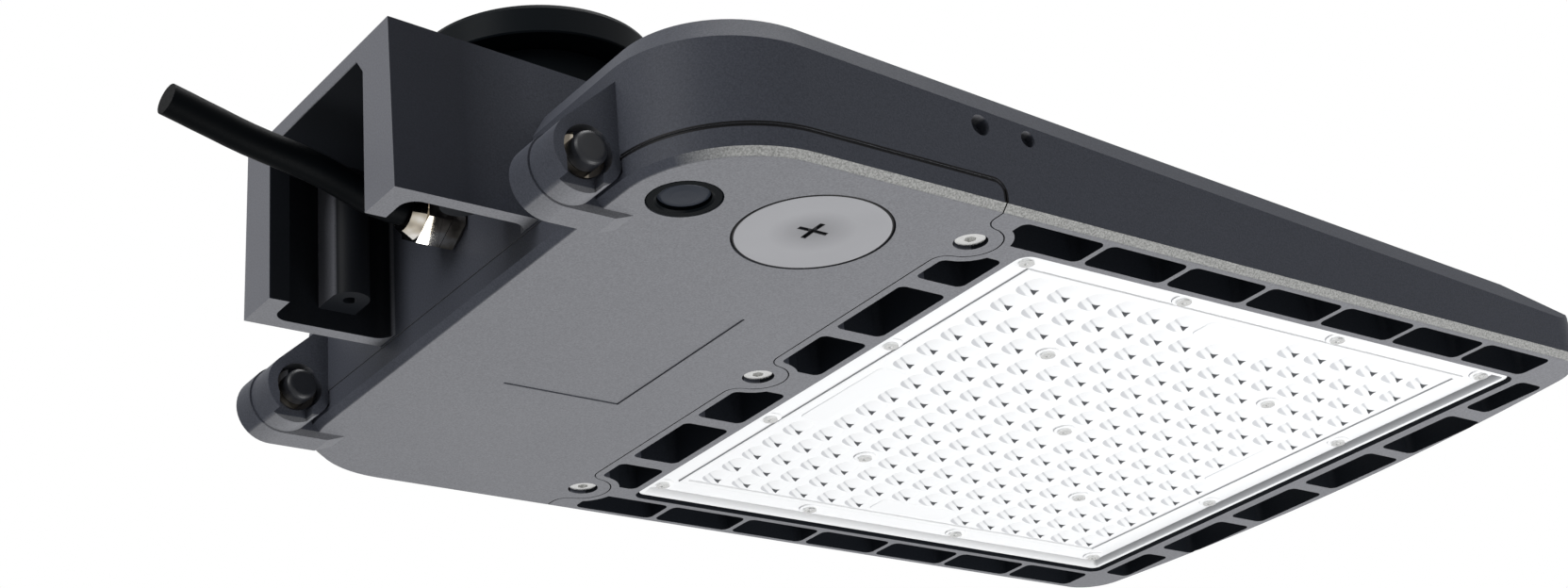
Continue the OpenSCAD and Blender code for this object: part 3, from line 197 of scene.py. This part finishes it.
class Finish:
    """A material with a Principled shader and short helpers for its nodes."""

    def __init__(self, name, color, rough, metal=0.0, specular=0.5):
        self.material = bpy.data.materials.new(name)
        self.material.use_nodes = True
        self.tree = self.material.node_tree
        self.tree.nodes.clear()
        self.output = self.node("ShaderNodeOutputMaterial")
        self.shader = self.node("ShaderNodeBsdfPrincipled")
        self.link(self.shader, "BSDF", self.output, "Surface")
        self.set(self.shader, "Base Color", (*color, 1))
        self.set(self.shader, "Roughness", rough)
        self.set(self.shader, "Metallic", metal)
        self.set(self.shader, "Specular IOR Level", specular)
        self.color = color
        self.rough = rough
        self.coordinates = self.node("ShaderNodeTexCoord")

    def node(self, kind):
        return self.tree.nodes.new(kind)

    def set(self, node, socket, value):
        node.inputs[socket].default_value = value

    def link(self, a, out, b, into):
        self.tree.links.new(a.outputs[out], b.inputs[into])

    def paint(self, color):
        """Gives the base colour a socket."""
        self.tree.links.new(color, self.shader.inputs["Base Color"])

    def axes(self, output):
        """The x, y and z of the object's own normal or place."""
        split = self.node("ShaderNodeSeparateXYZ")
        self.link(self.coordinates, output, split, "Vector")
        return [split.outputs[axis] for axis in "XYZ"]

    def noise(self, per_mm, detail=3.0, stretch=None):
        """A noise whose lumps are about 1 / per_mm millimetres across."""
        noise = self.node("ShaderNodeTexNoise")
        self.set(noise, "Scale", per_mm / MM)
        self.set(noise, "Detail", detail)
        if stretch:
            mapping = self.node("ShaderNodeMapping")
            self.set(mapping, "Scale", stretch)
            self.link(self.coordinates, "Object", mapping, "Vector")
            self.link(mapping, "Vector", noise, "Vector")
        else:
            self.link(self.coordinates, "Object", noise, "Vector")
        return noise

    def ramp(self, noise, stops):
        """A colour that follows a noise. stops are (position, colour) pairs."""
        ramp = self.node("ShaderNodeValToRGB")
        while len(ramp.color_ramp.elements) < len(stops):
            ramp.color_ramp.elements.new(0.5)
        for element, (position, color) in zip(ramp.color_ramp.elements, stops):
            element.position = position
            element.color = (*color, 1)
        self.link(noise, "Fac", ramp, "Fac")
        return ramp.outputs["Color"]

    def varied(self, noise, tone, amount, span=PATCH_SPAN):
        """A tone that a noise darkens and lightens by a share of itself."""
        dark = [c * (1 - amount) for c in tone]
        pale = [c * (1 + amount) for c in tone]
        return self.ramp(noise, [(span[0], dark), (span[1], pale)])

    def map_range(self, value, start, end, low=0.0, high=1.0):
        """low where value is at start, high where it is at end, and never past them."""
        span = self.node("ShaderNodeMapRange")
        for socket, number in (("From Min", start), ("From Max", end), ("To Min", low), ("To Max", high)):
            self.set(span, socket, number)
        self.tree.links.new(value, span.inputs["Value"])
        return span.outputs["Result"]

    def math(self, operation, *values):
        """The output of a Math node fed with sockets or numbers."""
        math_node = self.node("ShaderNodeMath")
        math_node.operation = operation
        for socket, value in zip(math_node.inputs, values):
            if isinstance(value, (int, float)):
                socket.default_value = value
            else:
                self.tree.links.new(value, socket)
        return math_node.outputs[0]

    def absolute(self, value):
        return self.math("ABSOLUTE", value)

    def product(self, first, *others):
        """The product of shares: 1 only where all of them are 1."""
        for other in others:
            first = self.math("MULTIPLY", first, other)
        return first

    def between(self, value, low, high):
        """1 where value lies between low and high, 0 elsewhere."""
        return self.product(self.math("GREATER_THAN", value, low), self.math("LESS_THAN", value, high))

    def distance(self, *offsets):
        """The length of an offset in two directions."""
        squares = [self.product(offset, offset) for offset in offsets]
        return self.math("SQRT", self.math("ADD", *squares))

    def blend(self, share, first, second):
        """Mixes two colours, each a socket or a plain colour."""
        mix = self.node("ShaderNodeMix")
        mix.data_type = "RGBA"
        self.tree.links.new(share, mix.inputs[0])
        for index, color in zip(COLOR_IN, (first, second)):
            if isinstance(color, tuple):
                mix.inputs[index].default_value = (*color, 1)
            else:
                self.tree.links.new(color, mix.inputs[index])
        return mix.outputs[COLOR_OUT]

    def vary_color(self, noise, amount):
        self.paint(self.varied(noise, self.color, amount))

    def vary_rough(self, noise, amount):
        rough = self.map_range(noise.outputs["Fac"], *GRAIN_SPAN, self.rough - amount, self.rough + amount)
        self.tree.links.new(rough, self.shader.inputs["Roughness"])

    def bump(self, noise, depth_mm, strength):
        bump = self.node("ShaderNodeBump")
        self.set(bump, "Strength", strength)
        self.set(bump, "Distance", depth_mm * MM)
        self.link(noise, "Fac", bump, "Height")
        self.link(bump, "Normal", self.shader, "Normal")


def seen_clearly(tree):
    """1 for what the camera sees, also in metal and through glass, 0 for the light on surfaces."""
    path = tree.nodes.new("ShaderNodeLightPath")
    total = path.outputs["Is Camera Ray"]
    for ray in ("Is Glossy Ray", "Is Transmission Ray"):
        either = tree.nodes.new("ShaderNodeMath")
        either.operation = "MAXIMUM"
        tree.links.new(total, either.inputs[0])
        tree.links.new(path.outputs[ray], either.inputs[1])
        total = either.outputs[0]
    return total


def arm_light_and_shade(finish, color, grained, facing, place):
    """Painted shade and painted light of the arm over the tones of the coat."""
    nx, ny, nz = facing
    x, y, z = place
    # painted shade on the sides, deeper towards the pole
    arm_end = max(corner[0] for corner in NODES["pole_arm"].bound_box)
    near = finish.map_range(x, arm_end, arm_end - ARM_SHADE_L * MM)
    beside = finish.map_range(finish.absolute(ny), *ARM_BESIDE)
    color = finish.blend(finish.product(near, beside), color, grained(ARM_SIDE_SHADE_TONE, ARM_GRAIN))
    # painted shade inside the arm
    within = finish.product(
        finish.math("LESS_THAN", finish.absolute(y), ARM_INSIDE_Y * MM),
        finish.between(z, ARM_FOOT_Z * MM, ARM_ROOF_Z * MM),
        finish.map_range(x, ARM_LIP_X[0] * MM, ARM_LIP_X[1] * MM),
        finish.math("LESS_THAN", nz, ARM_UPPER_FACING),
    )
    color = finish.blend(within, color, grained(ARM_INSIDE_SHADE_TONE, ARM_GRAIN))
    # painted light on the paler face that sits on the pole
    return finish.blend(finish.map_range(nx, *ARM_END_FACING), color, grained(ARM_END_LIT_TONE, ARM_GRAIN))


def body_painted_shade(finish, color, grained, facing, place):
    """The painted shadow of the seam and painted shade in the slots over the tones of the coat."""
    nz = facing[2]
    x, y, z = place
    # painted shadow of the seam between the door and the housing, straight, then round its corner
    past = [finish.math("MAXIMUM", finish.math("SUBTRACT", value, (start - SEAM_R) * MM), 0.0)
            for value, start in ((x, SEAM_X), (z, SEAM_Z))]
    off = finish.absolute(finish.math("SUBTRACT", finish.distance(*past), SEAM_R * MM))
    shadow = finish.product(
        finish.math("SUBTRACT", 1.0, finish.map_range(finish.absolute(nz), *SEAM_LEVEL)),
        finish.math("GREATER_THAN", x, SEAM_START * MM),
        finish.map_range(off, SEAM_HALF * MM, (SEAM_HALF - SEAM_SOFT) * MM),
    )
    color = finish.blend(shadow, color, SEAM_SHADOW_TONE)
    # painted shade on the walls inside the slots
    walls = finish.product(
        finish.math("LESS_THAN", finish.absolute(nz), SLOT_UPRIGHT),
        finish.math("LESS_THAN", finish.absolute(y), SLOT_WALLS_Y * MM),
        finish.between(x, SLOT_WALLS_X[0] * MM, SLOT_WALLS_X[1] * MM),
        finish.map_range(z, SLOT_WALLS_Z[0] * MM, SLOT_WALLS_Z[1] * MM),
    )
    return finish.blend(walls, color, grained(SLOT_SHADE_TONE, SIDE_GRAIN))


def powder_coat(name, rough, painted_light_and_shade):
    """Textured powder coat with painted light and shade: darker on upright and upper faces, paler on the
    faces that look down, as if lit from below.
    """
    finish = Finish(name, SIDE_TONE, rough, specular=0.09)
    facing = finish.axes("Normal")
    place = finish.axes("Object")
    grain = finish.noise(per_mm=1.6, detail=4)

    def grained(tone, amount):
        return finish.varied(grain, tone, amount, GRAIN_SPAN)

    # painted light: the faces that look down are paler, as if lit from below
    down = finish.map_range(facing[2], *FACES_DOWN)
    color = finish.blend(down, grained(SIDE_TONE, SIDE_GRAIN), grained(LIT_UNDER_TONE, UNDER_GRAIN))
    # painted highlight on the slanted edge between the sides and the underside
    slanted = finish.between(facing[2], *EDGE_SLANT)
    aside = finish.map_range(finish.absolute(facing[1]), *EDGE_ASIDE)
    color = finish.blend(finish.product(slanted, aside), color, grained(EDGE_HIGHLIGHT_TONE, EDGE_GRAIN))
    # painted light: what reaches down to the underside has its lit tone
    low = finish.map_range(place[2], (BOTTOM_Z + UNDER_FADE) * MM, BOTTOM_Z * MM)
    color = finish.blend(low, color, grained(LIT_UNDER_TONE, UNDER_GRAIN))
    finish.paint(painted_light_and_shade(finish, color, grained, facing, place))
    finish.vary_rough(finish.noise(per_mm=0.012, detail=2), 0.05)
    finish.bump(grain, depth_mm=0.05, strength=0.5)
    return finish.material


def moulded(name, color, rough, grain_mm=0.5, depth_mm=0.01, specular=0.5):
    """Moulded plastic or rubber with a fine spark-eroded grain."""
    finish = Finish(name, color, rough, specular=specular)
    grain = finish.noise(1 / grain_mm)
    finish.vary_color(finish.noise(per_mm=0.03, detail=2), 0.06)
    finish.vary_rough(grain, 0.04)
    finish.bump(grain, depth_mm, strength=0.6)
    return finish.material


def plug_plastic(name, rough):
    """The grey plug, with painted shade round its middle, at its rim and inside its cross slot."""
    finish = Finish(name, PLUG_TONE, rough, specular=0.15)
    grain = finish.noise(per_mm=1.4)
    x, y, z = finish.axes("Object")
    corners = [Vector(corner) for corner in NODES["sensor_plug"].bound_box]
    middle = sum(corners, Vector()) / len(corners)
    radius = max(corner.x for corner in corners) - middle.x
    reach = finish.distance(finish.math("SUBTRACT", x, middle.x), finish.math("SUBTRACT", y, middle.y))
    # painted shade, darker round the middle in the dish
    dish = finish.map_range(reach, *[radius * part for part in PLUG_DISH])
    color = finish.varied(finish.noise(per_mm=0.03, detail=2), PLUG_TONE, 0.05)
    color = finish.blend(finish.product(dish, PLUG_SHADE), color, PLUG_SLOT_SHADE_TONE)
    # painted shade inside the cross slot
    deep = finish.map_range(z, *[(BOTTOM_Z + depth) * MM for depth in PLUG_SLOT_DEPTH])
    color = finish.blend(deep, color, PLUG_SLOT_SHADE_TONE)
    # painted shade in the gap at the rim
    rim = finish.map_range(reach, *[radius - inset * MM for inset in PLUG_RIM])
    finish.paint(finish.blend(rim, color, SEAM_SHADOW_TONE))
    finish.vary_rough(grain, 0.04)
    finish.bump(grain, depth_mm=0.006, strength=0.6)
    return finish.material


def machined(name, color, rough, stretch=(1, 1, 12)):
    """Turned or drawn metal with fine lines."""
    finish = Finish(name, color, rough, metal=1.0)
    lines = finish.noise(per_mm=0.7, detail=4, stretch=stretch)
    finish.vary_color(lines, 0.08)
    finish.vary_rough(lines, 0.05)
    finish.bump(lines, depth_mm=0.006, strength=0.5)
    return finish.material


def bright_plate(name):
    """Bright nickel plate with painted reflections: a few darker, warmer patches and paler ones."""
    finish = Finish(name, (0.50, 0.46, 0.40), 0.07, metal=1.0)
    # painted reflections: dark, warm and pale patches in the plate's colour
    patches = finish.noise(per_mm=0.09, detail=2)
    stops = [(0.42, (0.16, 0.14, 0.115)), (0.50, (0.50, 0.45, 0.37)), (0.60, (0.80, 0.77, 0.72))]
    finish.paint(finish.ramp(patches, stops))
    finish.vary_rough(patches, 0.03)
    finish.bump(finish.noise(per_mm=0.25, detail=1), depth_mm=0.01, strength=0.2)
    return finish.material


def clear_moulding(name):
    """Clear polycarbonate over a white board: white, with painted shade that greys it where a lens slopes
    away from the arm.
    """
    finish = Finish(name, LENS_WHITE, 0.16, specular=0.25)
    nx, ny, nz = finish.axes("Normal")
    steep = finish.map_range(nz, *LENS_STEEP)
    away = finish.math("SUBTRACT", finish.product(ny, LENS_AWAY_Y), finish.product(nx, LENS_AWAY_X))
    far = finish.map_range(away, *LENS_AWAY)
    # painted shade on the steep lens slopes that face away from the arm
    finish.paint(finish.blend(finish.product(steep, far), LENS_WHITE, LENS_SHADE_GREY))
    # the sheet scatters light inside, so its shading hardly follows the lobes
    flat = finish.node("ShaderNodeMix")
    flat.data_type = "VECTOR"
    finish.set(flat, "Factor", LENS_EVENNESS)
    finish.set(flat, VECTOR_IN[1], (0, 0, -1))
    finish.link(finish.node("ShaderNodeNewGeometry"), "Normal", flat, VECTOR_IN[0])
    finish.link(flat, VECTOR_OUT, finish.shader, "Normal")
    through = finish.node("ShaderNodeBsdfTransparent")
    finish.set(through, "Color", (0.97, 0.98, 0.99, 1))
    slant = finish.node("ShaderNodeLayerWeight")
    finish.set(slant, "Blend", 0.45)
    cover = finish.map_range(slant.outputs["Facing"], 0.0, 1.0, *LENS_COVER)
    mix = finish.node("ShaderNodeMixShader")
    finish.tree.links.new(cover, mix.inputs["Fac"])
    finish.link(through, "BSDF", mix, 1)
    finish.link(finish.shader, "BSDF", mix, 2)
    finish.link(mix, "Shader", finish.output, "Surface")
    return finish.material


def board_white(name):
    """White solder mask."""
    finish = Finish(name, (0.86, 0.87, 0.88), 0.35)
    finish.vary_color(finish.noise(per_mm=0.05, detail=2), 0.02)
    return finish.material


MATERIALS = {
    "cast_housing": powder_coat("housing_powder_coat", 0.52, body_painted_shade),
    "cast_door": powder_coat("door_powder_coat", 0.55, body_painted_shade),
    "stainless": machined("stainless_steel", (0.74, 0.74, 0.73), 0.22),
    "bright_metal": bright_plate("nickel_plate"),
    "black_pin": moulded("black_oxide", (0.012, 0.013, 0.016), 0.38, grain_mm=0.8, depth_mm=0.008,
                         specular=0.3),
    "black_plastic": moulded("black_cap_plastic", (0.003, 0.0045, 0.006), 0.42, specular=0.04),
    "gloss_black": moulded("gloss_black_plastic", (0.002, 0.003, 0.004), 0.3, specular=0.02),
    "plug_grey": plug_plastic("plug_plastic", 0.4),
    "button_grey": moulded("button_plastic", (0.021, 0.025, 0.034), 0.34, specular=0.08),
    "seal_black": moulded("silicone_seal", (0.010, 0.010, 0.011), 0.6, specular=0.2),
    "cable_black": moulded("cable_jacket", (0.001, 0.0015, 0.002), 0.5, grain_mm=1.2, depth_mm=0.02,
                           specular=0.03),
    "lens_clear": clear_moulding("clear_polycarbonate"),
    "board_white": board_white("solder_mask"),
    "led_yellow": moulded("led_phosphor", (0.90, 0.72, 0.22), 0.4),
    "driver_case": machined("folded_aluminium", (0.70, 0.71, 0.72), 0.34, (10, 1, 1)),
    "surge_red": moulded("surge_case", (0.42, 0.045, 0.035), 0.3),
    "terminal_white": moulded("terminal_plastic", (0.78, 0.78, 0.72), 0.4),
    "brass_blade": machined("brass", (0.76, 0.58, 0.27), 0.25),
    "wire_mix": moulded("wire_insulation", (0.03, 0.03, 0.03), 0.4),
    "wire_red": moulded("wire_insulation_red", (0.45, 0.03, 0.02), 0.4),
    "spring_steel": machined("spring_wire", (0.66, 0.66, 0.66), 0.2),
}

ARM_COAT = powder_coat("arm_powder_coat", 0.52, arm_light_and_shade)
# painted shade: the dark triangles in the clefts of the lenses
CLEFT_SHADE = moulded("lens_cleft_shade", (0.045, 0.048, 0.055), 0.4, grain_mm=0.4, specular=0.2)


def dress_nodes():
    """Gives each solid the material of its slot."""
    slots = {part["node"]: part["material_slot"] for part in frame["record"]["subparts"]}
    for name, piece in NODES.items():
        piece.data.materials.clear()
        piece.data.materials.append(ARM_COAT if name == "pole_arm" else MATERIALS[slots[name]])


# ---------------------------------------------------------------- lens sheet

# Sizes of part.scad, in millimetres. Heights count up from the underside, at BOTTOM_Z.
TRAY_X = (201.3, 456.3)
TRAY_Y = 124.5
TRAY_R = 5
LENS_GAP = 0.8
FACE_H = 4.2
SHEET_T = 2.2
PITCH_X = 14.5
PITCH_Y = 14.2
HALF_N = 7
LOBE_R = 5
LOBE_H = 2.4
LOBE_OFF = 1.9
SCREW_IN = 9.5
# Places of screws in steps of the lenses' pitch from the middle: in the field and on the sides
FIELD_SCREW = 4
LONG_SIDE_SCREWS = (-3, 2.5)
SHORT_SIDE_SCREWS = (-2.7, 2.7)
TRAY_MID = sum(TRAY_X) / 2

# The relief of the sheet, in millimetres. A profile lists (inset, height) pairs.
SHEET_EDGE = [(0, FACE_H + SHEET_T), (0, FACE_H + 0.3), (0.3, FACE_H)]
# The border's two raised strips: how far in each starts, and how much it rises
STRIPS = ((0, 3.0), (13, 0.95))
STRIP_PROFILE = [(0.3, 0), (0.4, 0.7), (0.8, 1), (2.7, 1), (3.1, 0.7), (3.2, 0)]
# Whatever stands on the sheet starts a little inside it.
ROOT = FACE_H + 0.05
PAD_R = 2.5
PAD_PROFILE = [(0, ROOT), (0.3, FACE_H - 0.3), (0.9, FACE_H - 0.45)]
BOSS_HALF = 4.6
BOSS_R = 4.55
BOSS_PROFILE = [(0, ROOT), (0.2, FACE_H - 0.5), (0.7, FACE_H - 0.7)]
# A lens: points round it, and the parts of its radius where its rings lie
LENS_POINTS = 28
LENS_RINGS = (0.30, 0.58, 0.80, 0.93, 1.0)
# A dark triangle of painted shade in a lens's cleft: how far it stands off its lens, its direction, and
# rows of (step along it, half width)
CLEFT_SHADE_PROUD = 0.14
CLEFT_SHADE_ALONG = Vector((-0.58, -0.81))
CLEFT_SHADE_ACROSS = Vector((0.81, -0.58))
CLEFT_SHADE_ROWS = ((-2.1, 0.1), (-0.2, 0.85), (1.7, 1.6))
CORNER_STEPS = 6
SMOOTH_DEGREES = 35


def at(x, y, height):
    """A point in metres from millimetres, with its height above the underside."""
    return Vector((x, y, height + BOTTOM_Z)) * MM


def has_lens(i, j):
    """No lens where a screw or a pad sits."""
    missing = (
        (abs(i) == FIELD_SCREW and abs(j) == FIELD_SCREW) or (i == 0 and j == 0)
        or (abs(j) == HALF_N and abs(i) <= 1)
        or (i == HALF_N and abs(j) <= 1)
        or (i == -HALF_N and -1 <= j <= 2)
    )
    return not missing


def lens_centres():
    """Middles of the lenses."""
    steps = range(-HALF_N, HALF_N + 1)
    return [(TRAY_MID + i * PITCH_X, j * PITCH_Y) for i in steps for j in steps if has_lens(i, j)]


def lens_screws():
    """Middles of the screws: the corners, the long sides, the short sides, the field, the centre."""
    edge_x = (TRAY_X[0] + SCREW_IN, TRAY_X[1] - SCREW_IN)
    edge_y = (SCREW_IN - TRAY_Y, TRAY_Y - SCREW_IN)
    long_x = [TRAY_MID + step * PITCH_X for step in LONG_SIDE_SCREWS]
    short_y = [step * PITCH_Y for step in SHORT_SIDE_SCREWS]
    field_x = (TRAY_MID - FIELD_SCREW * PITCH_X, TRAY_MID + FIELD_SCREW * PITCH_X)
    field_y = (-FIELD_SCREW * PITCH_Y, FIELD_SCREW * PITCH_Y)
    rows = ((edge_x, edge_y), (long_x, edge_y), (edge_x, short_y), (field_x, field_y), ((TRAY_MID,), (0,)))
    return [(x, y) for xs, ys in rows for x in xs for y in ys]


def rounded_path(x0, x1, y0, y1, r):
    """Points of a rectangle with round corners, counter-clockwise seen from above."""
    path = []
    corners = ((x1 - r, y1 - r), (x0 + r, y1 - r), (x0 + r, y0 + r), (x1 - r, y0 + r))
    for quarter, (cx, cy) in enumerate(corners):
        for k in range(CORNER_STEPS + 1):
            angle = math.radians(90 * quarter + 90 * k / CORNER_STEPS)
            path.append((cx + r * math.cos(angle), cy + r * math.sin(angle)))
    return path


def strip_between(bm, loops):
    """Skins a row of closed loops of vertices."""
    for a, b in zip(loops, loops[1:]):
        for k in range(len(a)):
            n = (k + 1) % len(a)
            bm.faces.new((a[k], a[n], b[n], b[k]))


def raised_outline(bm, box, r, profile, closed=True):
    """A raised pad on a rectangle with round corners, or only a strip round it."""
    x0, x1, y0, y1 = box
    loops = []
    for inset, height in profile:
        path = rounded_path(x0 + inset, x1 - inset, y0 + inset, y1 - inset, max(r - inset, 0.4))
        loops.append([bm.verts.new(at(x, y, height)) for x, y in path])
    strip_between(bm, loops)
    if closed:
        bm.faces.new(loops[-1])


def lobe_height(x, y):
    """Height of the two-lobed lens over its foot."""
    heights = []
    for side in (-1, 1):
        u = min(math.hypot(x, y - side * LOBE_OFF) / LOBE_R, 1)
        heights.append(LOBE_H * (1 - u ** 2))
    return max(heights)


def add_lens(bm, cx, cy):
    """A lens of two lobes that run into each other."""
    crown = bm.verts.new(at(cx, cy, FACE_H - lobe_height(0, 0)))
    loops = []
    for t in LENS_RINGS:
        loop = []
        for k in range(LENS_POINTS):
            angle = 2 * math.pi * k / LENS_POINTS
            across = abs(math.sin(angle)) * LOBE_OFF
            reach = across + math.sqrt(LOBE_R ** 2 - (LOBE_OFF * math.cos(angle)) ** 2)
            x = t * reach * math.cos(angle)
            y = t * reach * math.sin(angle)
            loop.append(bm.verts.new(at(cx + x, cy + y, FACE_H - lobe_height(x, y))))
        loops.append(loop)
    for k in range(LENS_POINTS):
        bm.faces.new((crown, loops[0][k], loops[0][(k + 1) % LENS_POINTS]))
    strip_between(bm, loops)


def add_cleft_shade(bm, cx, cy):
    """The small dark triangle of painted shade in the waist of a lens, its point away from the pole end."""
    rows = []
    for step, half in CLEFT_SHADE_ROWS:
        row = []
        for side in (-1, 0, 1):
            spot = CLEFT_SHADE_ALONG * step + CLEFT_SHADE_ACROSS * half * side
            height = FACE_H - lobe_height(spot.x, spot.y) - CLEFT_SHADE_PROUD
            row.append(bm.verts.new(at(cx + spot.x, cy + spot.y, height)))
        rows.append(row)
    for low, high in zip(rows, rows[1:]):
        for k in (0, 1):
            bm.faces.new((low[k], low[k + 1], high[k + 1], high[k])).material_index = 1


def finish_piece(name, bm, materials, body, replaced):
    """Makes an object of the mesh and says what it rides on and the nodes it replaces."""
    bmesh.ops.recalc_face_normals(bm, faces=bm.faces)
    mesh = bpy.data.meshes.new(name)
    for face in bm.faces:
        face.smooth = True
    bm.to_mesh(mesh)
    bm.free()
    mesh.set_sharp_from_angle(angle=math.radians(SMOOTH_DEGREES))
    for material in materials:
        mesh.materials.append(material)
    piece = bpy.data.objects.new(name, mesh)
    bpy.context.scene.collection.objects.link(piece)
    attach(piece, body)
    for node in replaced:
        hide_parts(node)


def make_lens_sheet():
    """The clear sheet with its border, pads, screw bosses and lenses, in place of the plain solid."""
    bm = bmesh.new()
    outer = (TRAY_X[0] + LENS_GAP, TRAY_X[1] - LENS_GAP, LENS_GAP - TRAY_Y, TRAY_Y - LENS_GAP)
    corner = TRAY_R - LENS_GAP
    raised_outline(bm, outer, corner, SHEET_EDGE)
    for start, rise in STRIPS:
        profile = [(start + inset, ROOT - part * rise) for inset, part in STRIP_PROFILE]
        raised_outline(bm, outer, corner, profile, closed=False)
    # Pads in the middle of each side, a little smaller than the room of the lenses they stand for,
    # as (middle x, middle y, half size along x, half size along y)
    pad_x = 3 * PITCH_X / 2 - 2
    pad_y = 3 * PITCH_Y / 2 - 2
    side_x = PITCH_X / 2 - 1
    side_y = PITCH_Y / 2 - 1
    pads = [(TRAY_MID, side * HALF_N * PITCH_Y, pad_x, side_y) for side in (-1, 1)]
    pads.append((TRAY_MID + HALF_N * PITCH_X, 0, side_x, pad_y))
    pads.append((TRAY_MID - HALF_N * PITCH_X, PITCH_Y / 2, side_x, pad_y + PITCH_Y / 2))
    for cx, cy, half_x, half_y in pads:
        raised_outline(bm, (cx - half_x, cx + half_x, cy - half_y, cy + half_y), PAD_R, PAD_PROFILE)
    for x, y in lens_screws():
        box = (x - BOSS_HALF, x + BOSS_HALF, y - BOSS_HALF, y + BOSS_HALF)
        raised_outline(bm, box, BOSS_R, BOSS_PROFILE)
    for x, y in lens_centres():
        add_lens(bm, x, y)
        add_cleft_shade(bm, x, y)
    materials = [MATERIALS["lens_clear"], CLEFT_SHADE]
    finish_piece("lens_sheet", bm, materials, "fixture", ["lens_plate"])


# ---------------------------------------------------------------- studio

# What the lamps aim at, in metres
LIGHT_AIM = (0.25, 0, 0)
# name, place in metres, size, power
LAMPS = (
    ("key_below", (0.55, -0.25, -1.1), 0.9, 12.6),
    ("pole_side_above", (-1.2, -0.22, 0.65), 0.9, 13),
    ("top_soft", (0.45, -0.15, 1.5), 1.2, 17),
)
FILL_COLOR = (0.94, 0.97, 1.0, 1)
FILL_STRENGTH = 0.30
FLOOR_Z = -1.5
FLOOR_REACH = 20


def make_world():
    """A white world to look at, with a dimmer, slightly cool light on surfaces."""
    world = bpy.data.worlds.new("studio")
    bpy.context.scene.world = world
    world.use_nodes = True
    tree = world.node_tree
    tree.nodes.clear()
    output = tree.nodes.new("ShaderNodeOutputWorld")
    seen = tree.nodes.new("ShaderNodeBackground")
    seen.inputs["Color"].default_value = (1, 1, 1, 1)
    seen.inputs["Strength"].default_value = 1.0
    fill = tree.nodes.new("ShaderNodeBackground")
    fill.inputs["Color"].default_value = FILL_COLOR
    fill.inputs["Strength"].default_value = FILL_STRENGTH
    mix = tree.nodes.new("ShaderNodeMixShader")
    tree.links.new(seen_clearly(tree), mix.inputs[0])
    tree.links.new(fill.outputs[0], mix.inputs[1])
    tree.links.new(seen.outputs[0], mix.inputs[2])
    tree.links.new(mix.outputs[0], output.inputs["Surface"])


def area_lamp(name, place, size, power):
    """A round lamp that the camera doesn't see."""
    data = bpy.data.lights.new(name, "AREA")
    data.shape = "DISK"
    data.size = size
    data.energy = power
    lamp = bpy.data.objects.new(name, data)
    bpy.context.scene.collection.objects.link(lamp)
    lamp.location = place
    lamp.rotation_mode = "QUATERNION"
    lamp.rotation_quaternion = (Vector(LIGHT_AIM) - Vector(place)).to_track_quat("-Z", "Y")
    lamp.visible_camera = False


def studio_paper():
    """Pale paper. The camera, metal and glass see most of it as white, and the rest keeps the shadow."""
    finish = Finish("studio_paper", (0.86, 0.86, 0.86), 0.9, specular=0.1)
    mix = finish.node("ShaderNodeMixShader")
    share = finish.product(seen_clearly(finish.tree), PAPER_WHITENESS)
    finish.tree.links.new(share, mix.inputs[0])
    finish.link(finish.shader, "BSDF", mix, 1)
    finish.link(finish.node("ShaderNodeEmission"), "Emission", mix, 2)
    finish.link(mix, "Shader", finish.output, "Surface")
    return finish.material


def make_floor():
    """The sheet of paper under the light."""
    mesh = bpy.data.meshes.new("studio_floor")
    corners = [(x * FLOOR_REACH, y * FLOOR_REACH, FLOOR_Z) for x, y in ((-1, -1), (1, -1), (1, 1), (-1, 1))]
    mesh.from_pydata(corners, [], [(0, 1, 2, 3)])
    floor = bpy.data.objects.new("studio_floor", mesh)
    bpy.context.scene.collection.objects.link(floor)
    mesh.materials.append(studio_paper())


# ---------------------------------------------------------------- build

make_camera()
make_cable()
dress_nodes()
make_lens_sheet()
make_world()
for lamp in LAMPS:
    area_lamp(*lamp)
make_floor()
bpy.context.scene.view_settings.view_transform = "Standard"
